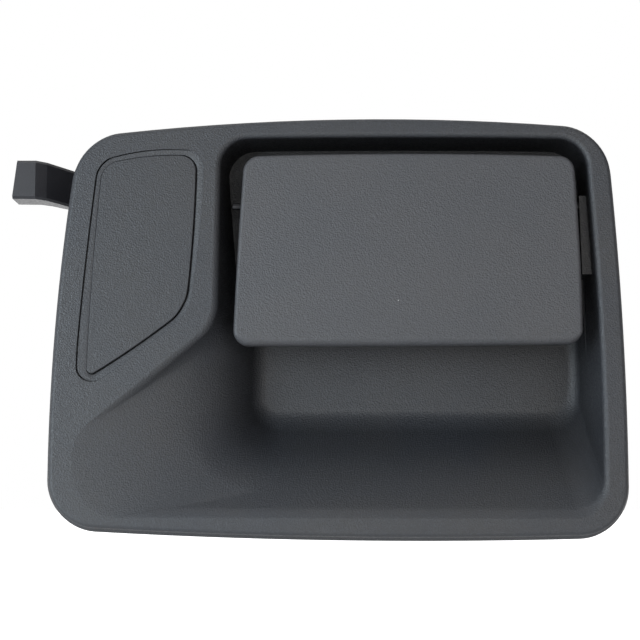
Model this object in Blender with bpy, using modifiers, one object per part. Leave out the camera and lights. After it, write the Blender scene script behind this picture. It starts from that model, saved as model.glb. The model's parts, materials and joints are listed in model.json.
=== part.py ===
"""Exterior car door handle: a moulded bezel with a finger pocket, a pull paddle on a pivot pin, and the
release lever that the paddle works behind the door skin.

Metres. +X is to the right as seen from outside the car, +Z is up and -Y points out of the door. The plane
Y = 0 is where the gasket seats on the door skin, and the origin lies on the gasket's lower run, midway
along it.
"""

import math

import bmesh
import bpy
from mathutils import Matrix, Vector

COLLECTION_NAME = "car_door_handle"
MM = 0.001  # every size below is in millimetres, and meshes are scaled by this as they are made
GAP = 0.3  # between pieces that touch
SKIM = 0.02  # keeps a cutter's edge off the plane of the face that it meets
SIDES = ("left", "right")
X_AXIS, Y_AXIS, OUT_AXIS = (1, 0, 0), (0, 1, 0), (0, -1, 0)

# Bezel outline: the corners where its bowed sides would meet (x, z), anticlockwise from the lower left.
BEZEL_CORNERS = [(-98.9, -0.1), (99.4, -3.0), (93.8, 137.3), (-89.8, 134.3)]
BEZEL_RADII = [14.4, 14.7, 15.2, 15.1]
BEZEL_BOWS = [2.5, 2.1, 5.1, 3.0]  # how far the lower, right, upper and left sides bow outwards
FACE_Y = -12.0  # front of the bezel's rim
REAR_Y = -1.9  # rear edge of the skirt
EDGE_ROLL = 1.5  # radius of the rim's rolled outer edge
SKIRT = [(0.2, -5.4), (0.5, -4.6), (1.5, -3.4), (1.5, REAR_Y)]  # its draught and its flared foot (offset, y)
FOOT_FLARE = SKIRT[-1][0]
WALL = 2.5
SINK = 1.2  # how far behind the face the pieces that join its plate from behind start

# Recess: its outline at the face and at the back wall, anticlockwise from the lower left corner.
RECESS_MOUTH = [(-87.0, 4.0), (91.4, 3.7), (86.2, 133.9), (-40.6, 133.9), (-42.0, 68.6), (-90.4, 28.6)]
RECESS_DEEP = [(-29.5, 36.2), (86.6, 36.2), (85.0, 132.2), (-38.6, 132.2), (-29.5, 72.0), (-29.0, 57.0)]
RECESS_RADII = [14.0, 10.0, 9.5, 9.5, 17.0, 14.0]
RECESS_BOWS = [0.0, 1.7, 0.6, 0.0, 0.0, 0.0]
LEFT_FOOT, LEFT_TOP = 0, 5  # the corners that the left slope joins
ROOF_CORNERS = (2, 3)
LEFT_WALL_CORNERS = (3, 4)
POCKET_DEPTH = 34.0
SLOPE_RATE = 8.0  # how slowly the left slope comes in with depth
SLOPE_RISE = 1.75  # how closely its top follows the recess's slanting edge
SLOPE_SPREAD = (8.0, 12.0, 0.7)  # its corners open to this depth, by this much, then close at this rate
LIP = 2.0  # radius of the rounded edge round the recess
FLOOR_FILLET = 4.0
DECK_DEPTH = 20.0  # the recess ends here above the finger pocket's roof
DECK_Y = FACE_Y + DECK_DEPTH
ROOF_FRONT_Z, ROOF_BACK_Z = 90.0, 76.0
ROOF_RADIUS = 5.0

# Lock blanking plate, its seat in the face and the wider ledge round the seat.
PLATE_CORNERS = [(-86.6, 49.6), (-52.0, 73.9), (-48.6, 127.8), (-81.8, 124.6)]
PLATE_RADII = [1.8, 14.8, 4.7, 5.8]
PLATE_BOWS = [0.7, 0.7, 1.5, 0.6]
LEDGE_CORNERS = [(-91.1, 43.4), (-51.6, 72.7), (-46.7, 129.2), (-83.4, 125.6)]
LEDGE_RADII = [5.1, 10.1, 5.1, 6.3]
LEDGE_BOWS = [0.8, 1.3, 2.3, 0.6]
LEDGE_DROP = (0.2, 0.6)  # how far behind the face its outer and inner edges are
PLATE_THICK = 2.4
PLATE_EDGE = [(0.5, 0.65), (0.15, 0.75), (0.0, 1.1)]  # its rounded edge: inset, distance behind the face
PLATE_STUDS = [(-72.0, 108.0), (-66.0, 78.0)]
PLATE_STUD_RADIUS = 1.5
PLATE_STUD_END_Y = -2.0
SEAT_Y = FACE_Y + PLATE_THICK + GAP
SEAT_RIM = 2.6
NUT_SPRUNG = [(0.0, 4.5), (0.6, 4.5), (1.4, 3.2), (1.4, 1.8), (0.0, 1.8)]

# Pivot pin, with a head at its right end and a clip in its groove at the left one.
PIVOT_Y, PIVOT_Z = -2.0, 111.4
PIVOT_PLACE = (0, PIVOT_Y, PIVOT_Z)
PIN_RADIUS = 1.25
PIN_LEFT_X = -37.2
PIN_HEAD_X = 90.6
PIN_HEAD = [(0.0, 2.3), (0.9, 2.3), (1.3, 1.6)]
PIN_GROOVE_X = -31.3
PIN_GROOVE_WIDTH, PIN_GROOVE_RADIUS = 0.8, 0.8
PIN_CLIP = {"inner": 0.95, "outer": 2.6, "start": -31.15, "thick": 0.5}
CLIP_OPENING = math.radians(70)

# Ears, posts and bosses of the housing.
LEFT_EAR_X = (-30.2, -28.2)
LEFT_EAR = [(DECK_Y + 1, 97.0), (-4.6, 100.0), (-4.6, 115.5), (DECK_Y + 1, 115.5)]
RIGHT_EAR_Y = (-5.0, DECK_Y + 1)
RIGHT_EAR = [(85.9, 87.0), (90.2, 87.0), (88.8, 114.8), (85.1, 114.8)]
BUMPER_PLACES = [(-8.0, 96.0), (62.0, 96.0)]
BUMPER_POST_RADIUS = 3.5
BUMPER_POST_Y = -3.4
BUMPER_STEM_RADIUS = 1.45
SNAP_RIDGE = [(1.6, 135.0), (1.6, 137.8), (2.4, 137.8), (6.0, 135.0)]
SNAP_RIDGE_STARTS = (-10.0, 50.0)
SNAP_RIDGE_LENGTH = 16.0
MOUNT_STUDS = [(-84.0, 36.0), (74.0, 4.4)]
STUD_RADIUS = 2.5
STUD_END_Y = 12.5
STUD_PITCH = 2.0
STUD_BOSS_RADII = (5.6, 4.4)
STUD_BOSS_Y = -9.6
STUD_BORE_Y = (-8.4, -6.0)
NUT_Y = 1.3
NUT_APOTHEM = 4.0

# Gasket: its inner edge, and how far its outer edge stands inside the skirt's foot.
GASKET_CORNERS = [(-91.5, 2.4), (94.6, 1.0), (91.2, 135.6), (-84.5, 132.2)]
GASKET_RADII = [14.0, 13.0, 13.0, 13.0]
GASKET_BOWS = [0.2, 1.5, 4.0, 2.4]
GASKET_INSET = 0.6

# Paddle and the carrier behind it.
PADDLE_CORNERS = [(-36.1, 61.3), (84.7, 62.0), (82.3, 127.5), (-32.4, 127.5)]
PADDLE_RADII = [5.0, 5.0, 5.0, 5.5]
PADDLE_BOWS = [0.3, 0.6, 1.0, 0.3]
PADDLE_FRONT_Y, PADDLE_REAR_Y = -13.0, -5.0
PADDLE_ROLL = 3.0
PADDLE_WALL = 2.6
CARRIER_PLATE_Y = (-10.1, -8.1)
CARRIER_INSET = 3.2
CHEEK_THICK = 2.5
CHEEK_RIGHTS = (-25.4, 79.0)  # right face of each cheek
CHEEK_NOSE = 4.6
RIB_HEIGHTS = (88.0, 70.0)
RIB_THICK = 1.8
RIB_REAR_Y = -6.4
TONGUE_X = (-25.2, -18.0)
TONGUE_REACH = 22.0  # pivot to the middle of the tongue's round nose
TONGUE_THICK = 5.0
CARRIER_SCREWS = [(0.0, 76.0), (52.0, 76.0)]

# Torsion spring on the pivot pin.
SPRING_X = 10.0
SPRING_RADIUS = 3.3
SPRING_WIRE = 0.6
SPRING_PITCH = 1.35
SPRING_TURNS = 5.0
SPRING_LEG_Z = (123.0, 121.0)

# Release lever, which turns about a pin along Y behind the bezel.
LEVER_PIVOT = (-60.0, 105.0)
LEVER_PLACE = (LEVER_PIVOT[0], 0, LEVER_PIVOT[1])
LEVER_INNER_ARM = 38.0
LEVER_PAD_RADIUS = 3.0
LEVER_ARM_Y = (19.5, 24.0)
LEVER_HUB_RADIUS = 6.0
LEVER_HUB_Y = 15.0
LEVER_EDGE = 0.9  # chamfer along the outer arm
# Sections of the outer arm: x at its top and bottom, front and rear y, low and high z.
LEVER_SECTIONS = [
    (-114.9, -116.4, 5.6, 20.0, 115.7, 129.6),
    (-108.2, -108.2, 5.6, 20.0, 115.6, 129.6),
    (-104.4, -104.4, 7.6, 21.4, 115.3, 129.2),
    (-95.8, -95.8, 14.6, 24.0, 113.8, 127.4),
    (-86.0, -86.0, 19.5, 24.0, 110.6, 122.6),
    (-63.0, -63.0, 19.5, 24.0, 100.0, 110.0),
]
ROD_HOLE = (-110.8, 0, 122.6)
ROD_HOLE_RADIUS = 2.5
ROD_HOLE_Y = (9.0, 24.0)
BUSH_WALL = 0.7
BUSH_Y = (15.1, 24.2)

# Lever pin, the bracket that carries it and the return spring.
LEVER_PIN_RADIUS = 3.0
LEVER_PIN_HEAD = [(11.2, 4.6), (11.5, 5.0)]
LEVER_GROOVE_Y = (24.6, 25.6)
LEVER_GROOVE_RADIUS = 2.2
LEVER_PIN_END = [(26.8, LEVER_PIN_RADIUS), (27.4, LEVER_PIN_RADIUS - 0.6)]
LEVER_CLIP = {"inner": 2.4, "outer": 5.4, "start": 24.8, "thick": 0.6}
BRACKET_Y = (13.0, 14.5)
BRACKET_MARGIN = 5.4
BRACKET_POSTS = [(-77.0, 97.0), (-49.0, 88.0), (-58.0, 123.0)]
POST_RADIUS = 4.0
SPRING_TAB = [(-62.0, 13.1, 92.6), (-57.6, 17.4, 94.2)]
RETURN_WIRE = 0.5
RETURN_RADIUS = LEVER_HUB_RADIUS + 0.9
RETURN_Y = 15.5
RETURN_PITCH = 1.1
RETURN_TURNS = 2.5
RETURN_HOOK = (-76.0, 119.3)

# Screws: the shank's radius, and the pan head's radius and height.
CARRIER_SCREW = (1.0, 3.2, 2.0)
BRACKET_SCREW = (1.25, 3.4, 2.2)

# Finishes: colour, roughness and metallic value.
MOULDED_BLACK = ((0.022, 0.023, 0.025), 0.5, 0.0)
PADDLE_BLACK = ((0.026, 0.026, 0.028), 0.46, 0.0)
LEVER_BLACK = ((0.020, 0.020, 0.024), 0.4, 0.0)
RUBBER = ((0.012, 0.012, 0.012), 0.8, 0.0)
NATURAL_NYLON = ((0.62, 0.60, 0.52), 0.45, 0.0)
ZINC_PLATE = ((0.55, 0.56, 0.58), 0.35, 1.0)
CAST_ALLOY = ((0.30, 0.30, 0.31), 0.5, 1.0)
SPRING_STEEL = ((0.35, 0.35, 0.37), 0.3, 1.0)


# ------------------------------------------------------------------------------------------------ outlines


def offset_corners(corners, distance):
    """Corners of an anticlockwise polygon whose sides have all moved outwards by the distance."""
    count = len(corners)
    moved = []
    for i in range(count):
        lines = []
        for start, end in ((corners[i - 1], corners[i]), (corners[i], corners[(i + 1) % count])):
            along = (Vector(end) - Vector(start)).normalized()
            outward = Vector((along.y, -along.x))
            lines.append((Vector(start) + outward * distance, along))
        (p, u), (q, v) = lines
        step = (q - p).cross(v) / u.cross(v)
        moved.append(tuple(p + u * step))
    return moved


def corner_arc(corner, before, after, radius, offset, steps):
    """Points round one corner of an outline. A hollow corner's radius shrinks as the outline grows."""
    back = (before - corner).normalized()
    ahead = (after - corner).normalized()
    turning = 1.0 if back.cross(ahead) < 0.0 else -1.0
    radius = max(radius + offset * turning, GAP)
    half = back.angle(ahead) / 2
    centre = corner + (back + ahead).normalized() * radius / math.sin(half)
    first = corner + back * radius / math.tan(half) - centre
    turn = (math.pi - 2 * half) * turning
    return [centre + Matrix.Rotation(turn * k / steps, 2) @ first for k in range(steps + 1)]


def bowed(point, start, end, bow):
    """How far a side's bow moves a point on it."""
    chord = end - start
    share = min(max((point - start).dot(chord) / chord.length_squared, 0.0), 1.0)
    outward = Vector((chord.y, -chord.x)).normalized()
    return outward * bow * 4 * share * (1 - share)


def rounded_outline(corners, radii, bows=None, offset=0.0, arc_steps=6, side_steps=6):
    """Points (x, z) round an anticlockwise outline with round corners and sides that bow outwards."""
    count = len(corners)
    bows = bows or [0.0] * count
    corners = [Vector(corner) for corner in offset_corners(corners, offset)]
    arcs = []
    for i in range(count):
        after = corners[(i + 1) % count]
        arcs.append(corner_arc(corners[i], corners[i - 1], after, radii[i], offset, arc_steps))
    points = []
    for i in range(count):
        following = arcs[(i + 1) % count]
        points += [(point, (i - 1, i)) for point in arcs[i]]
        for k in range(1, side_steps):
            points.append((arcs[i][-1].lerp(following[0], k / side_steps), (i,)))
    outline = []
    for point, sides in points:
        place = point.copy()
        for side in sides:
            place += bowed(point, corners[side], corners[(side + 1) % count], bows[side])
        outline.append(tuple(place))
    return outline


def quarter_roll(radius, steps=4):
    """A quarter round: pairs of how far it has still to come out, and how far back it has gone."""
    pairs = []
    for k in range(steps + 1):
        angle = math.pi / 2 * k / steps
        pairs.append((radius * (1 - math.sin(angle)), radius * (1 - math.cos(angle))))
    return pairs


def bezel_outline(offset=0.0):
    return rounded_outline(BEZEL_CORNERS, BEZEL_RADII, BEZEL_BOWS, offset)


def bezel_loops(profile):
    """Loops (x, y, z) of the bezel's outline, at each offset and y of a profile."""
    return [[(x, y, z) for x, z in bezel_outline(offset)] for offset, y in profile]


def plate_outline(offset=0.0):
    return rounded_outline(PLATE_CORNERS, PLATE_RADII, PLATE_BOWS, offset, arc_steps=5, side_steps=3)


def ledge_outline():
    return rounded_outline(LEDGE_CORNERS, LEDGE_RADII, LEDGE_BOWS, arc_steps=5, side_steps=3)


def paddle_outline(offset=0.0):
    return rounded_outline(PADDLE_CORNERS, PADDLE_RADII, PADDLE_BOWS, offset, side_steps=5)


def recess_corners(depth):
    """The recess's corners at a depth behind the face: steep walls, and a left slope that starts shallow."""
    straight = min(depth / POCKET_DEPTH, 1.0)
    gone = max(depth, 0.0)
    slope = gone / (gone + SLOPE_RATE) * (POCKET_DEPTH + SLOPE_RATE) / POCKET_DEPTH
    rise = 1 - max(1 - slope, 0.0) ** SLOPE_RISE
    corners = []
    for i, (mouth, deep) in enumerate(zip(RECESS_MOUTH, RECESS_DEEP)):
        share_x = slope if i in (LEFT_FOOT, LEFT_TOP) else straight
        share_z = rise if i == LEFT_TOP else straight
        x = mouth[0] + (deep[0] - mouth[0]) * share_x
        z = mouth[1] + (deep[1] - mouth[1]) * share_z
        corners.append((x, z))
    return corners


def slope_spread(depth):
    """How much the radii of the left slope's two corners have grown at a depth."""
    peak, most, closing = SLOPE_SPREAD
    return most * max(depth, 0.0) / peak if depth < peak else most - closing * (depth - peak)


def recess_lip():
    """(depth, how far the outline has grown) round the recess's lip, from in front of the face."""
    return [(-3.0, LIP), *[(depth - SKIM, grown) for grown, depth in quarter_roll(LIP)]]


def recess_stations():
    """(depth, how far the outline has grown) down the recess, from below its lip to the back wall."""
    stations = [(depth, 0.0) for depth in (4.0, 7.5, 12.0, DECK_DEPTH, DECK_DEPTH + 0.4, 25.0)]
    for short, inset in quarter_roll(FLOOR_FILLET, 3):
        stations.append((POCKET_DEPTH - short, -inset))
    return stations


def recess_loops(wall=0.0):
    """Loops (x, y, z) down the recess. Past the deck only the pocket goes on.

    With a wall thickness they are the bucket's outside, which starts inside the face's plate.
    """
    mouth = [(SINK - wall, 0.0)] if wall else recess_lip()
    loops = []
    for depth, grown in [*mouth, *recess_stations()]:
        corners = recess_corners(depth)
        radii = list(RECESS_RADII)
        for i in (LEFT_FOOT, LEFT_TOP):
            radii[i] += slope_spread(depth)
        if depth > DECK_DEPTH:
            share = (depth - DECK_DEPTH) / (POCKET_DEPTH - DECK_DEPTH)
            roof = ROOF_FRONT_Z + (ROOF_BACK_Z - ROOF_FRONT_Z) * share
            for i in ROOF_CORNERS:
                corners[i] = (corners[i][0] + 1.0, roof)
            for i in LEFT_WALL_CORNERS:
                radii[i] = ROOF_RADIUS
        outline = rounded_outline(corners, radii, RECESS_BOWS, grown + wall, arc_steps=5, side_steps=3)
        loops.append([(x, FACE_Y + depth + wall, z) for x, z in outline])
    return loops


# -------------------------------------------------------------------------------------------- mesh helpers


def parts():
    return bpy.data.collections[COLLECTION_NAME]


def object_from(name, shape, collection):
    """A new object from a bmesh in metres, with its faces looking outwards."""
    shape.normal_update()
    bmesh.ops.recalc_face_normals(shape, faces=shape.faces)
    mesh = bpy.data.meshes.new(name)
    shape.to_mesh(mesh)
    shape.free()
    made = bpy.data.objects.new(name, mesh)
    collection.objects.link(made)
    return made


def mesh_of(made):
    """A bmesh of the object as its modifiers, or its curve's settings, shape it. The object goes."""
    graph = bpy.context.evaluated_depsgraph_get()
    mesh = bpy.data.meshes.new_from_object(made.evaluated_get(graph))
    shape = bmesh.new()
    shape.from_mesh(mesh)
    bpy.data.meshes.remove(mesh)
    bpy.data.objects.remove(made, do_unlink=True)
    return shape


def loft(name, loops, collection, ring=False):
    """A closed solid through loops of equal count. A ring joins the last loop to the first, else caps do."""
    shape = bmesh.new()
    rows = [[shape.verts.new(Vector(point) * MM) for point in loop] for loop in loops]
    pairs = list(zip(rows, rows[1:]))
    if ring:
        pairs.append((rows[-1], rows[0]))
    for near, far in pairs:
        for i in range(len(near)):
            j = (i + 1) % len(near)
            shape.faces.new((near[i], near[j], far[j], far[i]))
    if not ring:
        shape.faces.new(rows[0])
        shape.faces.new(rows[-1])
    return object_from(name, shape, collection)


def extruded(name, outline, span, lie, collection):
    """A flat outline, extruded over a span along its normal, then laid by a matrix."""
    curve = bpy.data.curves.new(name, "CURVE")
    curve.dimensions = "2D"
    curve.fill_mode = "BOTH"
    curve.extrude = abs(span[1] - span[0]) / 2 * MM
    spline = curve.splines.new("POLY")
    spline.points.add(len(outline) - 1)
    spline.use_cyclic_u = True
    for target, (u, v) in zip(spline.points, outline):
        target.co = (u * MM, v * MM, 0.0, 1.0)
    drawn = bpy.data.objects.new(f"{name}_outline", curve)
    collection.objects.link(drawn)
    shape = mesh_of(drawn)
    bmesh.ops.remove_doubles(shape, verts=shape.verts, dist=1e-6)
    shape.transform(lie @ Matrix.Translation((0, 0, (span[0] + span[1]) / 2 * MM)))
    return object_from(name, shape, collection)


def slab(name, outline, y_range, collection):
    """A flat outline (x, z), extruded from the first y to the second."""
    lie = Matrix(((1, 0, 0, 0), (0, 0, 1, 0), (0, 1, 0, 0), (0, 0, 0, 1)))
    return extruded(name, outline, y_range, lie, collection)


def side_slab(name, outline, x_range, collection):
    """A flat outline (y, z), extruded from the first x to the second."""
    lie = Matrix(((0, 0, 1, 0), (1, 0, 0, 0), (0, 1, 0, 0), (0, 0, 0, 1)))
    return extruded(name, outline, x_range, lie, collection)


def box(name, low, high, collection):
    shape = bmesh.new()
    bmesh.ops.create_cube(shape, size=1.0)
    size = Vector(high) - Vector(low)
    middle = (Vector(high) + Vector(low)) / 2
    shape.transform(Matrix.Translation(middle * MM) @ Matrix.Diagonal((*(size * MM), 1.0)))
    return object_from(name, shape, collection)


def stand_on(place, axis):
    """The matrix that puts a shape made along +Z at a place, along an axis."""
    turn = Vector((0, 0, 1)).rotation_difference(Vector(axis)).to_matrix().to_4x4()
    return Matrix.Translation(Vector(place) * MM) @ turn


def cylinder(name, radius, place, axis, span, collection, sides=24):
    """A cylinder over a span of distances along an axis from a place."""
    shape = bmesh.new()
    size = radius * MM
    depth = (span[1] - span[0]) * MM
    bmesh.ops.create_cone(shape, cap_ends=True, segments=sides, radius1=size, radius2=size, depth=depth)
    middle = (span[0] + span[1]) / 2 * MM
    shape.transform(stand_on(place, axis) @ Matrix.Translation((0, 0, middle)))
    return object_from(name, shape, collection)


def turned(name, profile, place, axis, collection, sides=24, ring=False):
    """A solid of revolution: a profile of (distance along the axis, radius), on a Screw modifier.

    A ring's profile is closed and clear of the axis, and any other ends on the axis.
    """
    points = list(profile)
    if not ring:
        points = [(profile[0][0], 0.0), *profile, (profile[-1][0], 0.0)]
    shape = bmesh.new()
    verts = [shape.verts.new((radius * MM, 0.0, along * MM)) for along, radius in points]
    for start, end in zip(verts, verts[1:]):
        shape.edges.new((start, end))
    if ring:
        shape.edges.new((verts[-1], verts[0]))
    drawn = object_from(f"{name}_profile", shape, collection)
    screw = drawn.modifiers.new("turn", "SCREW")
    screw.steps = screw.render_steps = sides
    screw.use_merge_vertices = True
    screw.merge_threshold = 0.00001
    shape = mesh_of(drawn)
    shape.transform(stand_on(place, axis))
    return object_from(name, shape, collection)


def wire(name, points, radius):
    """A round wire through points: a curve with a bevel and filled caps."""
    curve = bpy.data.curves.new(name, "CURVE")
    curve.dimensions = "3D"
    spline = curve.splines.new("POLY")
    spline.points.add(len(points) - 1)
    for target, point in zip(spline.points, points):
        target.co = (*(Vector(point) * MM), 1.0)
    curve.bevel_depth = radius * MM
    curve.bevel_resolution = 1
    curve.use_fill_caps = True
    made = bpy.data.objects.new(name, curve)
    parts().objects.link(made)
    return made


def coil(first, start, towards, along, radius, pitch, turns, steps=12):
    """Points along a coil round a first centre: it starts on one side and turns towards another."""
    points = []
    for k in range(round(turns * steps) + 1):
        angle = 2 * math.pi * k / steps
        across = Vector(start) * math.cos(angle) + Vector(towards) * math.sin(angle)
        points.append(Vector(first) + across * radius + Vector(along) * pitch * k / steps)
    return points


def combine(base, others, operation):
    for other in others:
        step = base.modifiers.new(other.name, "BOOLEAN")
        step.object = other
        step.operation = operation
        step.solver = "EXACT"
    return base


def add(base, others):
    return combine(base, others, "UNION")


def cut(base, others):
    return combine(base, others, "DIFFERENCE")


def one_cutter(name, pieces, collection):
    """Cutters that don't touch, put together so that one Boolean makes all their holes."""
    shape = bmesh.new()
    for piece in pieces:
        shape.from_mesh(piece.data)
        bpy.data.objects.remove(piece, do_unlink=True)
    return object_from(name, shape, collection)


def bores(name, places, radius, y_range, collection, sides=16):
    """Round cutters or posts along Y at several places (x, z)."""
    made = []
    for i, (x, z) in enumerate(places):
        made.append(cylinder(f"{name}_{i}", radius, (x, 0, z), Y_AXIS, y_range, collection, sides))
    return made


# ------------------------------------------------------------------------------------------------- housing


def bezel_shell(cutters):
    """The rim and its skirt: a block with a rolled front edge and a flared foot, hollow from behind."""
    profile = [(-inset, FACE_Y + back) for inset, back in quarter_roll(EDGE_ROLL)]
    shell = loft("bezel_housing", bezel_loops([*profile, *SKIRT]), parts())
    inside = [(-WALL, FACE_Y + WALL), (-WALL, SKIRT[1][1]), (FOOT_FLARE - WALL, SKIRT[2][1] + 1)]
    inside.append((FOOT_FLARE - WALL, REAR_Y + 3))
    return cut(shell, [loft("bezel_hollow", bezel_loops(inside), cutters)])


def housing_backs(cutters):
    """What stands behind the face: bucket, plate seat, bracket posts, stud bosses and snap ridges."""
    backs = [loft("bucket_outside", recess_loops(WALL), cutters)]
    backs.append(slab("seat_pad", plate_outline(SEAT_RIM), (FACE_Y + SINK, SEAT_Y + WALL), cutters))
    backs += bores("post", BRACKET_POSTS, POST_RADIUS, (SEAT_Y + 1, BRACKET_Y[0] - GAP), cutters, 24)
    for place, radius in zip(MOUNT_STUDS, STUD_BOSS_RADII):
        backs += bores(f"stud_boss_{radius}", [place], radius, (STUD_BOSS_Y, REAR_Y), cutters, 24)
    for i, x in enumerate(SNAP_RIDGE_STARTS):
        backs.append(side_slab(f"snap_ridge_{i}", SNAP_RIDGE, (x, x + SNAP_RIDGE_LENGTH), cutters))
    return backs


def housing_fronts(cutters):
    """What stands up from the deck: the ears that carry the pivot pin, and the bumpers' posts."""
    fronts = [slab("right_ear", RIGHT_EAR, RIGHT_EAR_Y, cutters)]
    fronts.append(side_slab("left_ear", LEFT_EAR, LEFT_EAR_X, cutters))
    span = (BUMPER_POST_Y, DECK_Y + 1)
    fronts += bores("bumper_post", BUMPER_PLACES, BUMPER_POST_RADIUS, span, cutters, 24)
    return fronts


def plate_seat(cutters):
    """The cutter for the blanking plate's seat, with the shallow ledge round it."""
    outer, inner = LEDGE_DROP
    levels = [(ledge_outline(), -1.0), (ledge_outline(), outer), (plate_outline(), inner)]
    levels.append((plate_outline(), SEAT_Y - FACE_Y))
    loops = [[(x, FACE_Y + depth, z) for x, z in outline] for outline, depth in levels]
    return loft("plate_seat", loops, cutters)


def housing_holes(cutters):
    holes = [cylinder("pin_bore", PIN_RADIUS + GAP, PIVOT_PLACE, X_AXIS, (-34.0, 92.0), cutters, 16)]
    slot_low = (TONGUE_X[0] - 2.2, DECK_Y - 1, 98.5)
    slot_high = (TONGUE_X[1] + 2.0, DECK_Y + 5, 116.0)
    holes.append(box("tongue_slot", slot_low, slot_high, cutters))
    holes += bores("bumper_bore", BUMPER_PLACES, BUMPER_STEM_RADIUS + GAP, (-5.0, 2.0), cutters)
    holes += bores("plate_bore", PLATE_STUDS, PLATE_STUD_RADIUS + GAP, (FACE_Y, 0.0), cutters)
    holes += bores("post_bore", BRACKET_POSTS, BRACKET_SCREW[0] + GAP, (0.0, 14.0), cutters)
    for i, (place, start) in enumerate(zip(MOUNT_STUDS, STUD_BORE_Y)):
        holes += bores(f"stud_bore_{i}", [place], STUD_RADIUS + GAP, (start, 1.0), cutters)
    return one_cutter("housing_holes", holes, cutters)


def bezel_housing(cutters):
    """The moulded housing: shell, recess bucket, ears, posts and stud bosses, with every hole."""
    housing = add(bezel_shell(cutters), housing_backs(cutters))
    recess = loft("recess", recess_loops(), cutters)
    cut(housing, [recess, plate_seat(cutters)])
    add(housing, housing_fronts(cutters))
    return cut(housing, [housing_holes(cutters)])


def lock_blanking_plate(cutters):
    """The plate that closes the lock cylinder's opening, with two studs behind it."""
    rear = FACE_Y + PLATE_THICK
    loops = []
    for inset, back in [*PLATE_EDGE, (0.0, PLATE_THICK)]:
        loops.append([(x, FACE_Y + back, z) for x, z in plate_outline(-GAP - inset)])
    plate = loft("lock_blanking_plate", loops, parts())
    span = (rear - 1, PLATE_STUD_END_Y)
    return add(plate, bores("plate_stud", PLATE_STUDS, PLATE_STUD_RADIUS, span, cutters))


def push_nut(index):
    """A spring-steel push nut on one of the blanking plate's studs."""
    x, z = PLATE_STUDS[index]
    place = (x, SEAT_Y + WALL + GAP, z)
    return turned(f"plate_push_nut_{index + 1}", NUT_SPRUNG, place, Y_AXIS, parts(), 20, ring=True)


def perimeter_gasket():
    """The rubber gasket between the skirt and the door skin."""
    inner = rounded_outline(GASKET_CORNERS, GASKET_RADII, GASKET_BOWS)
    outer = bezel_outline(FOOT_FLARE - GASKET_INSET)
    front, rear = REAR_Y + GAP, 0.0
    loops = []
    for outline, y in ((outer, front), (outer, rear), (inner, rear), (inner, front)):
        loops.append([(x, y, z) for x, z in outline])
    return loft("perimeter_gasket", loops, parts(), ring=True)


def mounting_stud(index):
    """A threaded stud set in the housing, standing out through the door skin."""
    x, z = MOUNT_STUDS[index]
    start = STUD_BORE_Y[index] + GAP
    profile = [(start, STUD_RADIUS - 0.4), (start + 0.6, STUD_RADIUS)]
    crest = 0.0
    while crest < STUD_END_Y:
        profile += [(crest, STUD_RADIUS), (crest + STUD_PITCH / 2, STUD_RADIUS - 0.45)]
        crest += STUD_PITCH
    profile += [(crest, STUD_RADIUS), (crest + 0.8, STUD_RADIUS - 0.7)]
    return turned(f"mounting_stud_{SIDES[index]}", profile, (x, 0, z), Y_AXIS, parts(), 16)


def mounting_nut(index):
    """A hexagon flange nut run down the stud to the door skin."""
    x, z = MOUNT_STUDS[index]
    hexagon = None
    bore = STUD_RADIUS + GAP
    rings = [(0.0, 5.6), (0.7, 5.5), (1.7, 4.8), (1.9, hexagon), (5.1, hexagon), (5.1, bore), (0.0, bore)]
    loops = []
    for rise, radius in rings:
        y = NUT_Y + rise
        loop = []
        for k in range(24):
            angle = 2 * math.pi * k / 24
            off_flat = (angle + math.pi / 6) % (math.pi / 3) - math.pi / 6
            reach = radius or NUT_APOTHEM / math.cos(off_flat)
            loop.append((x + reach * math.cos(angle), y, z + reach * math.sin(angle)))
        loops.append(loop)
    return loft(f"mounting_nut_{SIDES[index]}", loops, parts(), ring=True)


def pivot_pin():
    """The paddle's pivot pin, headed outside the bucket's right wall and grooved for a clip at its left."""
    groove_end = PIN_GROOVE_X + PIN_GROOVE_WIDTH
    profile = [(PIN_LEFT_X, PIN_RADIUS - 0.3), (PIN_LEFT_X + 0.4, PIN_RADIUS), (PIN_GROOVE_X, PIN_RADIUS)]
    profile += [(PIN_GROOVE_X, PIN_GROOVE_RADIUS), (groove_end, PIN_GROOVE_RADIUS), (groove_end, PIN_RADIUS)]
    profile += [(PIN_HEAD_X, PIN_RADIUS)]
    profile += [(PIN_HEAD_X + along, radius) for along, radius in PIN_HEAD]
    return turned("paddle_pivot_pin", profile, PIVOT_PLACE, X_AXIS, parts(), 16)


def retaining_clip(name, place, axis, inner, outer, start, thick, steps=18):
    """A flat spring-steel clip, a C in outline, pushed into a pin's groove."""
    first = CLIP_OPENING / 2 - math.pi / 2
    sweep = 2 * math.pi - CLIP_OPENING
    angles = [first + sweep * k / steps for k in range(steps + 1)]
    outline = [(outer * math.cos(angle), outer * math.sin(angle)) for angle in angles]
    outline += [(inner * math.cos(angle), inner * math.sin(angle)) for angle in reversed(angles)]
    return extruded(name, outline, (start, start + thick), stand_on(place, axis), parts())


def paddle_bumper(index):
    """A rubber stop on its post, which the closed paddle rests against."""
    x, z = BUMPER_PLACES[index]
    tip = CARRIER_PLATE_Y[1] + GAP
    seat = BUMPER_POST_Y - GAP
    stem = BUMPER_STEM_RADIUS
    profile = [(tip, 2.2), (tip + 0.7, 3.2), (seat, 3.3), (seat, stem), (1.0, stem)]
    return turned(f"paddle_bumper_{SIDES[index]}", profile, (x, 0, z), Y_AXIS, parts(), 20)


# -------------------------------------------------------------------------------------------------- paddle


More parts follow.
